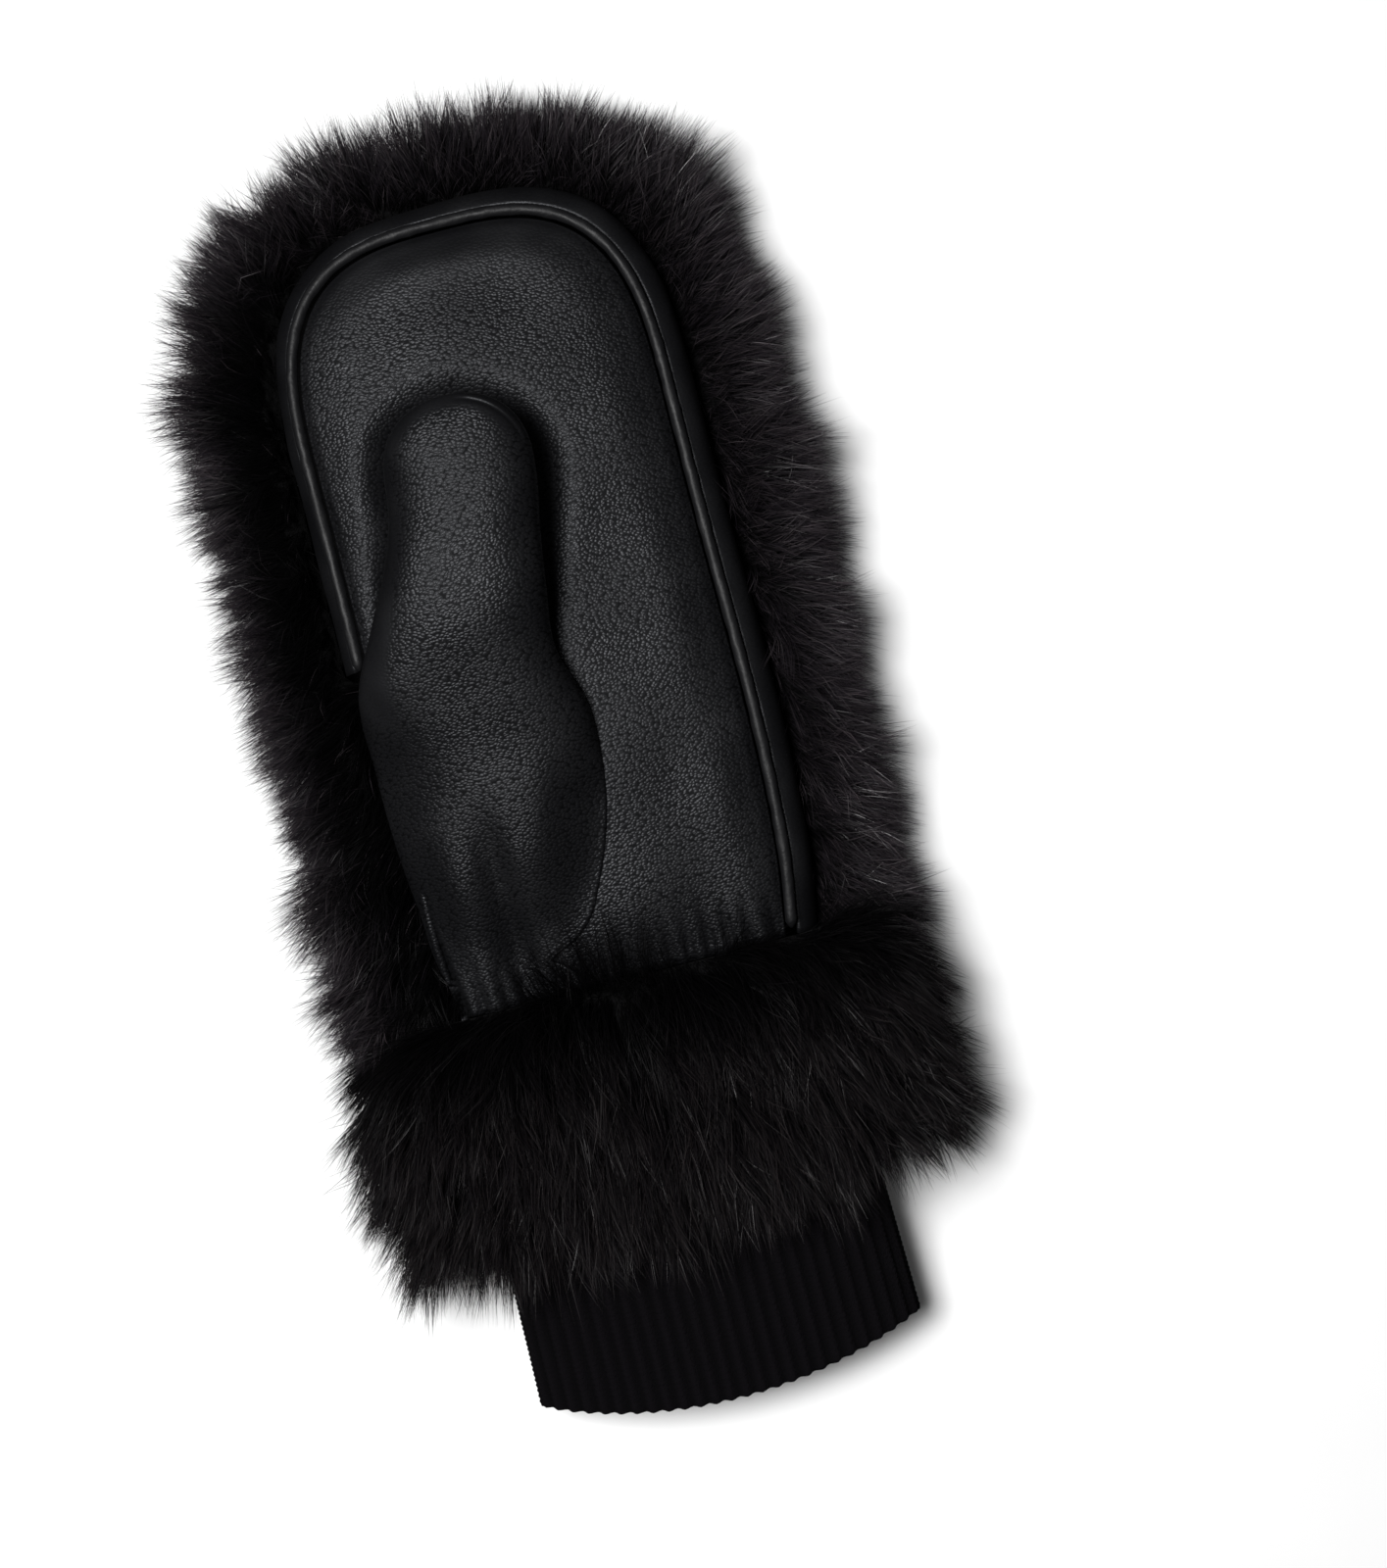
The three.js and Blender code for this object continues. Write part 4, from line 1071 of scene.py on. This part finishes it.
@dataclass
class HandPile:
    """The deep pile round the hand, with its underfur."""

    strands: int = 84000
    pieces: int = 3
    seed: int = 100
    inset: float = 0.6
    beside_band: float = 8.0
    wrist_start: float = 26.0
    wrist_flare: float = 5.0
    tip_share: float = 0.9
    waves: Waves = Waves(0.16, 20.0, 41)
    wool_waves: Waves = Waves(0.5, 5.0, 51)
    fibre: StrandFinish = field(default_factory=StrandFinish)
    wool: UnderfurFinish = field(default_factory=UnderfurFinish)

    def cloth(self, turn: Array, at: Array, lower: float = 0.0) -> Array:
        """A point of the cloth that the strands grow from."""
        side = ease(np.abs(turn), 0.2 * HAND.arch_share, HAND.arch_share)
        bare = ease(-turn, HAND.turn_of(HAND.crotch), HAND.turn_of(0.95 * HAND.crotch))
        wrist = ease(np.abs(turn), HAND.turn_of(self.wrist_start), 1.0)
        out = follow(PILE_ROWS, "out", at)
        out = out - bare * (1 - ease(at, 0.0, 0.5)) * self.beside_band
        out = out + wrist * self.wrist_flare * ease(at, 0.1, 0.6)
        out = out * blend(self.tip_share, 1.0, side) - lower
        x, y, _ = HAND.outline(turn, out)
        high = HAND.edge(y) * follow(PILE_ROWS, "high", at) - lower
        return stack(x, y, np.maximum(high, 0.5))

    def roots(self, rng: np.random.Generator, count: int) -> Roots:
        """Random places on the cloth, evenly spread."""
        turn = rng.uniform(-1, 1, 3 * count)
        at = rng.uniform(0, 1, 3 * count)
        place = self.cloth(turn, at)
        along = self.cloth(turn + STEP, at) - place
        down = self.cloth(turn, at + STEP) - place
        kept = spread(rng, np.linalg.norm(np.cross(along, down), axis=-1), count)
        turn, at, place = turn[kept], at[kept], place[kept]
        away = HAND.outward(turn)
        lift = np.radians(follow(PILE_ROWS, "lift", at))[:, None]
        out = away * np.cos(lift) + UP * np.sin(lift)
        lean = ease(HAND.arch_foot - place[:, 1], -0.45 * HAND.arch_foot, 1.1 * HAND.arch_foot)
        nap = away * np.cos(0.7 * lift) + UP * np.sin(0.7 * lift)
        nap = unit(nap - TO_FINGERTIPS * (0.9 * lean)[:, None])
        length = follow(PILE_ROWS, "length", at) * (1.22 - 0.62 * rng.beta(1.6, 2.2, len(at)))
        length *= 1 + self.waves.at(place)
        # Painted shade in the valley beside the side band: the inner rows' strands get darker tips, most of
        # all on the thumb's side, while a few strays keep theirs.
        valley_shade = blend(0.2, 0.8, ease(turn, -0.36, -0.12))
        light = np.where(rng.random(len(at)) < 0.03, 1.0, blend(valley_shade, 1.0, ease(at, 0.12, 0.5)))
        return Roots(place, out, nap, length, light)

    def build(self) -> None:
        """Makes the underfur and the strands."""
        fibre, wool = self.fibre.material(), self.wool.material()

        def place(u: Array, v: Array) -> Array:
            wall = 0.8
            at = np.minimum(v / wall, 1.0)
            p = self.cloth(2 * u - 1, at, self.inset)
            p = p + HAND.outward(2 * u - 1) * self.wool_waves.at(p)[:, None]
            under = np.clip((v - wall) / (1 - wall), 0, 1)[:, None]
            x, _, spine = HAND.outline(2 * u - 1, 12.0)
            return blend(p, stack(0 * x, spine, self.inset), under)

        made = Panel(200, 30, place, away_from(np.array([0.0, 110.0, 20.0]))).mesh()
        settle(as_object(made, "hand_underfur", wool), Slot.FUR, "fur_back")
        for n in range(self.pieces):
            roots = self.roots(np.random.default_rng(self.seed + n), self.strands // self.pieces)
            strands = Strands(seed=200 + 10 * n)
            settle(strands.mesh(f"hand_pile_{n + 1}", roots, fibre), Slot.FUR)


@dataclass
class GauntletPile:
    """The deep pile round the wrist and forearm, combed towards the cuff."""

    strands: int = 66000
    pieces: int = 2
    seed: int = 300
    strand_length: tuple[float, float] = (20.0, 31.0)
    right_shorter: float = 0.22
    length: float = 64.0
    width: float = 144.0
    height: float = 54.0
    power: float = 2.7
    inset: float = 5.0
    last_root: float = 0.86
    mouth_start: float = 0.93
    mouth_height: float = 25.0
    lock_waves: Waves = Waves(1.0, 18.0, 44)
    waves: Waves = Waves(0.14, 20.0, 43)
    wool_waves: Waves = Waves(0.5, 5.0, 52)
    # Painted shade: a darker, less shiny copy of the hand pile's strand finish.
    fibre: StrandFinish = StrandFinish(
        "gauntlet_strands_shaded", tip=(0.0038, 0.0031, 0.004, 1.0), brown=(0.028, 0.0228, 0.0235, 1.0), shine=0.3
    )
    wool: UnderfurFinish = field(default_factory=UnderfurFinish)

    def cloth(self, share: Array, angle: Array, inset: float) -> Array:
        """A point of the cloth: share 0 at the wrist and 1 at the hem."""
        half = self.width / 2 * follow(GAUNTLET_STATIONS, "width", share) - inset
        top = self.height * follow(GAUNTLET_STATIONS, "height", share) - inset
        across, up = oval(angle, self.power)
        z = np.maximum(top / 2 - 1 + (top / 2 + 1) * up, 0.4)
        return stack(half * across, -self.length * share, z)

    def roots(self, rng: np.random.Generator, count: int) -> Roots:
        """Random places on the cloth, fewer underneath."""
        share = rng.uniform(0.0, self.last_root, 4 * count)
        angle = rng.uniform(0, 2 * math.pi, 4 * count)
        place = self.cloth(share, angle, self.inset)
        along = self.cloth(share + STEP, angle, self.inset) - place
        about = self.cloth(share, angle + STEP, self.inset) - place
        area = np.linalg.norm(np.cross(along, about), axis=-1)
        kept = spread(rng, area * np.where(place[:, 2] < 1.0, 0.25, 1.0), count)
        share, place = share[kept], place[kept]
        up = (place[:, 2] - self.height / 2) / self.height**2
        away = unit(stack(place[:, 0] / self.width**2, 0.0, up))
        side = np.abs(away[:, 0])
        start = 1 - ease(share, 0.0, 0.16)
        sweep = blend(0.6, 0.35, side) * (1 - start)
        over = start * rng.uniform(0.0, 1.0, len(share)) * (1 + self.lock_waves.at(place))
        over = over * blend(0.25, 1.0, ease(place[:, 0], -34, -8))
        sweep = sweep - 0.8 * over
        out = unit(away * blend(0.75, 1.0, side)[:, None] - TO_FINGERTIPS * sweep[:, None])
        back = blend(1.0, 0.55, start) - 0.9 * over
        nap = unit(away * blend(0.2, 0.55, side)[:, None] - TO_FINGERTIPS * back[:, None])
        length = rng.uniform(*self.strand_length, len(share)) * (1 + self.waves.at(place))
        length *= 1 - self.right_shorter * ease(place[:, 0], 20, 70)
        # Painted shade by the wrist, where the gauntlet's pile meets the hand's: strands there get darker
        # tips.
        return Roots(place, out, nap, length, blend(0.55, 1.0, ease(share, 0.0, 0.25)))

    def build(self) -> None:
        """Makes the underfur and the strands."""
        fibre, wool = self.fibre.material(), self.wool.material()

        def place(u: Array, v: Array) -> Array:
            p = self.cloth(v, 2 * math.pi * u, self.inset + 0.6)
            away = unit(stack(p[:, 0], 0.0, p[:, 2] - self.mouth_height))
            p = p + self.wool_waves.at(p)[:, None] * away * (p[:, 2:] > 1)
            mouth = np.clip((v - self.mouth_start) / (1 - self.mouth_start), 0, 1)[:, None]
            inner = stack(0.72 * p[:, 0], p[:, 1], blend(p[:, 2], self.mouth_height, 0.35))
            return blend(p, inner, mouth)

        made = Panel(150, 40, place, away_from(np.array([0.0, -30.0, 26.0]))).mesh()
        settle(as_object(made, "gauntlet_underfur", wool), Slot.FUR, "fur_gauntlet")
        for n in range(self.pieces):
            roots = self.roots(np.random.default_rng(self.seed + n), self.strands // self.pieces)
            strands = Strands(seed=400 + 10 * n, droop=0.15, stray=0.22)
            settle(strands.mesh(f"gauntlet_pile_{n + 1}", roots, fibre), Slot.FUR)


@dataclass
class KnitCuff:
    """The rib-knitted tube that comes out of the gauntlet."""

    top: float = -53.0
    seam: float = -52.0
    hem: float = -107.0
    sag: float = 9.5
    width: float = 103.0
    height: float = 25.0
    middle: float = 25.35
    flare: float = 1.03
    droop: float = 5.0
    power: float = 2.6
    ribs: int = 54
    rib_rise: float = 0.9
    row_rise: float = 0.22
    hem_round: float = 0.7
    folded: float = 0.9
    inside: float = 0.6
    stitch: float = 1.45
    wall: float = 1.9
    yarn: KnitFinish = field(default_factory=KnitFinish)

    def turns(self, steps: int) -> Array:
        """Angles that share out the cuff's round evenly."""
        fine = np.linspace(0, 2 * math.pi, 2881)
        across, up = oval(fine, self.power)
        run = np.hypot(np.diff(across * self.width / 2), np.diff(up * self.height / 2))
        run = np.concatenate([[0], np.cumsum(run)])
        return np.interp(np.linspace(0, run[-1], steps + 1), run, fine)

    def build(self) -> None:
        """Makes the tube with its ribs and stitches: down its outside and back up inside."""
        around = self.ribs * 6
        table = self.turns(around)

        def place(u: Array, v: Array) -> Array:
            angle = table[np.rint(u * around).astype(int)]
            down = np.minimum(v / self.folded, 1.0)
            back = np.maximum(v - self.folded, 0) / (1 - self.folded)
            low = down - self.inside * back
            y = blend(self.top, self.hem, low)
            share = (y - self.seam) / (self.hem - self.seam)
            half = self.width / 2 * blend(1.0, self.flare, share)
            middle = self.middle - self.droop * ease(share, 0.2, 1)
            rib = 0.5 + 0.5 * np.cos(u * self.ribs * 2 * math.pi)
            rows = np.cos(y / self.stitch * 2 * math.pi + 1.1 * np.cos(u * self.ribs * 4 * math.pi))
            inset = self.rib_rise * (1 - rib**0.8) + self.row_rise * rows
            inset = inset + self.hem_round * ease(down, 0.985, 1.0)
            inset = blend(inset, self.rib_rise + self.wall, ease(back, 0, 0.12))
            across, up = oval(angle, self.power)
            x = (half - inset) * across
            z = middle + (self.height / 2 - inset) * up
            sag = self.sag * (1 - np.minimum(1, np.abs(2 * x) / self.width) ** 2) * low**2
            wave = 0.5 * (rib - 0.5) * ease(down, 0.9, 1) * (1 - back)
            return stack(x, y - sag - wave, z)

        made = Panel(around, 124, place, away_from(np.array([0.0, -80.0, 22.0]))).mesh()
        piece = as_object(made, "cuff_knit", self.yarn.material())
        layer = piece.data.uv_layers[0].data
        flat = np.empty(2 * len(layer))
        layer.foreach_get("uv", flat)
        corner = np.empty(len(layer), np.int32)
        piece.data.loops.foreach_get("vertex_index", corner)
        # Painted shade: raised is 1 on the ribs' crests and 0 in the hollows between them, which the yarn's
        # colour darkens.
        raised = np.zeros(len(piece.data.vertices))
        raised[corner] = 0.5 + 0.5 * np.cos(flat.reshape(-1, 2)[:, 0] * self.ribs * 2 * math.pi)
        set_attribute(piece, "raised", raised)
        settle(piece, Slot.KNIT, "rib_cuff")


class Lamp(NamedTuple):
    """A square soft light: its place by the picture's own directions, its size and its power, in
    metres and watts."""

    name: str
    right: float
    up: float
    high: float
    size: float
    power: float


@dataclass
class Studio:
    """A pale surface, soft light from the upper left and a camera straight above."""

    lean: float = math.radians(14.5)
    aim: tuple[float, float] = (29.0, 45.9)
    view_height: float = 416.0
    lens: float = 85.0
    sensor: float = 36.0
    above: float = 0.04
    lamps: tuple[Lamp, ...] = (
        Lamp("key", -0.43, 0.08, 1.45, 0.5, 31.0),
        Lamp("fill", 0.9, -0.5, 1.2, 0.9, 1.0),
    )
    daylight: float = 0.03

    def across(self, right: float, up: float, high: float) -> Vector:
        """A place by the picture's own directions about its middle, in metres."""
        c, s = math.cos(self.lean), math.sin(self.lean)
        middle = to_metres(np.array([self.aim[0], self.aim[1], 0.0]))
        return Vector((middle[0] + right * c + up * s, middle[1] - right * s + up * c, high))

    def floor(self) -> None:
        """The surface that the mitten lies on."""
        made = bmesh.new()
        bmesh.ops.create_grid(made, x_segments=1, y_segments=1, size=3.0)
        bmesh.ops.translate(made, verts=made.verts, vec=self.across(0, 0, -0.0002))
        s = Shader("pale_floor")
        place = s.node("TexCoord").outputs["Object"]
        fine = s.node("TexNoise", {"Vector": place, "Scale": 40.0})
        tint = s.mix(fine.outputs[0], (0.86, 0.86, 0.86, 1), (0.89, 0.89, 0.89, 1))
        floor = as_object(made, "floor", s.dress(Base_Color=tint, Roughness=0.9, Specular_IOR_Level=0.1))
        floor.visible_glossy = False

    def light(self, lamp: Lamp) -> None:
        """A square soft light that faces the mitten."""
        data = bpy.data.lights.new(lamp.name, "AREA")
        data.shape = "SQUARE"
        data.size = lamp.size
        data.energy = lamp.power
        spot = self.across(lamp.right, lamp.up, lamp.high)
        piece = bpy.data.objects.new(lamp.name, data)
        piece.location = spot
        aim = self.across(-0.05, 0, 0) - spot
        piece.rotation_euler = aim.to_track_quat("-Z", "Y").to_euler()
        bpy.context.scene.collection.objects.link(piece)

    def camera(self) -> None:
        """The camera, straight above with the fingertips leaning to the left."""
        data = bpy.data.cameras.new("camera")
        data.lens = self.lens
        data.sensor_width = self.sensor
        data.sensor_fit = "AUTO"
        data.clip_start = 0.05
        data.clip_end = 20.0
        piece = bpy.data.objects.new("camera", data)
        piece.location = self.across(0, 0, self.view_height * MM * self.lens / self.sensor + self.above)
        piece.rotation_euler = (0, 0, -self.lean)
        bpy.context.scene.collection.objects.link(piece)
        bpy.context.scene.camera = piece

    def build(self) -> None:
        """Sets up the surface, the lights and the camera."""
        self.camera()
        self.floor()
        for lamp in self.lamps:
            self.light(lamp)
        world = bpy.data.worlds.new("studio")
        world.use_nodes = True
        back = world.node_tree.nodes["Background"]
        back.inputs["Color"].default_value = (1, 1, 1, 1)
        back.inputs["Strength"].default_value = self.daylight
        bpy.context.scene.world = world
        bpy.context.scene.view_settings.view_transform = "Standard"


def main() -> None:
    """Builds the mitten and its studio."""
    logging.basicConfig(level=logging.INFO, format="%(name)s: %(message)s")
    Studio().build()
    for part in (LeatherHand(), HandPile(), GauntletPile(), KnitCuff()):
        part.build()
        LOG.info("%s is built", type(part).__name__)


if __name__ == "__main__":
    main()
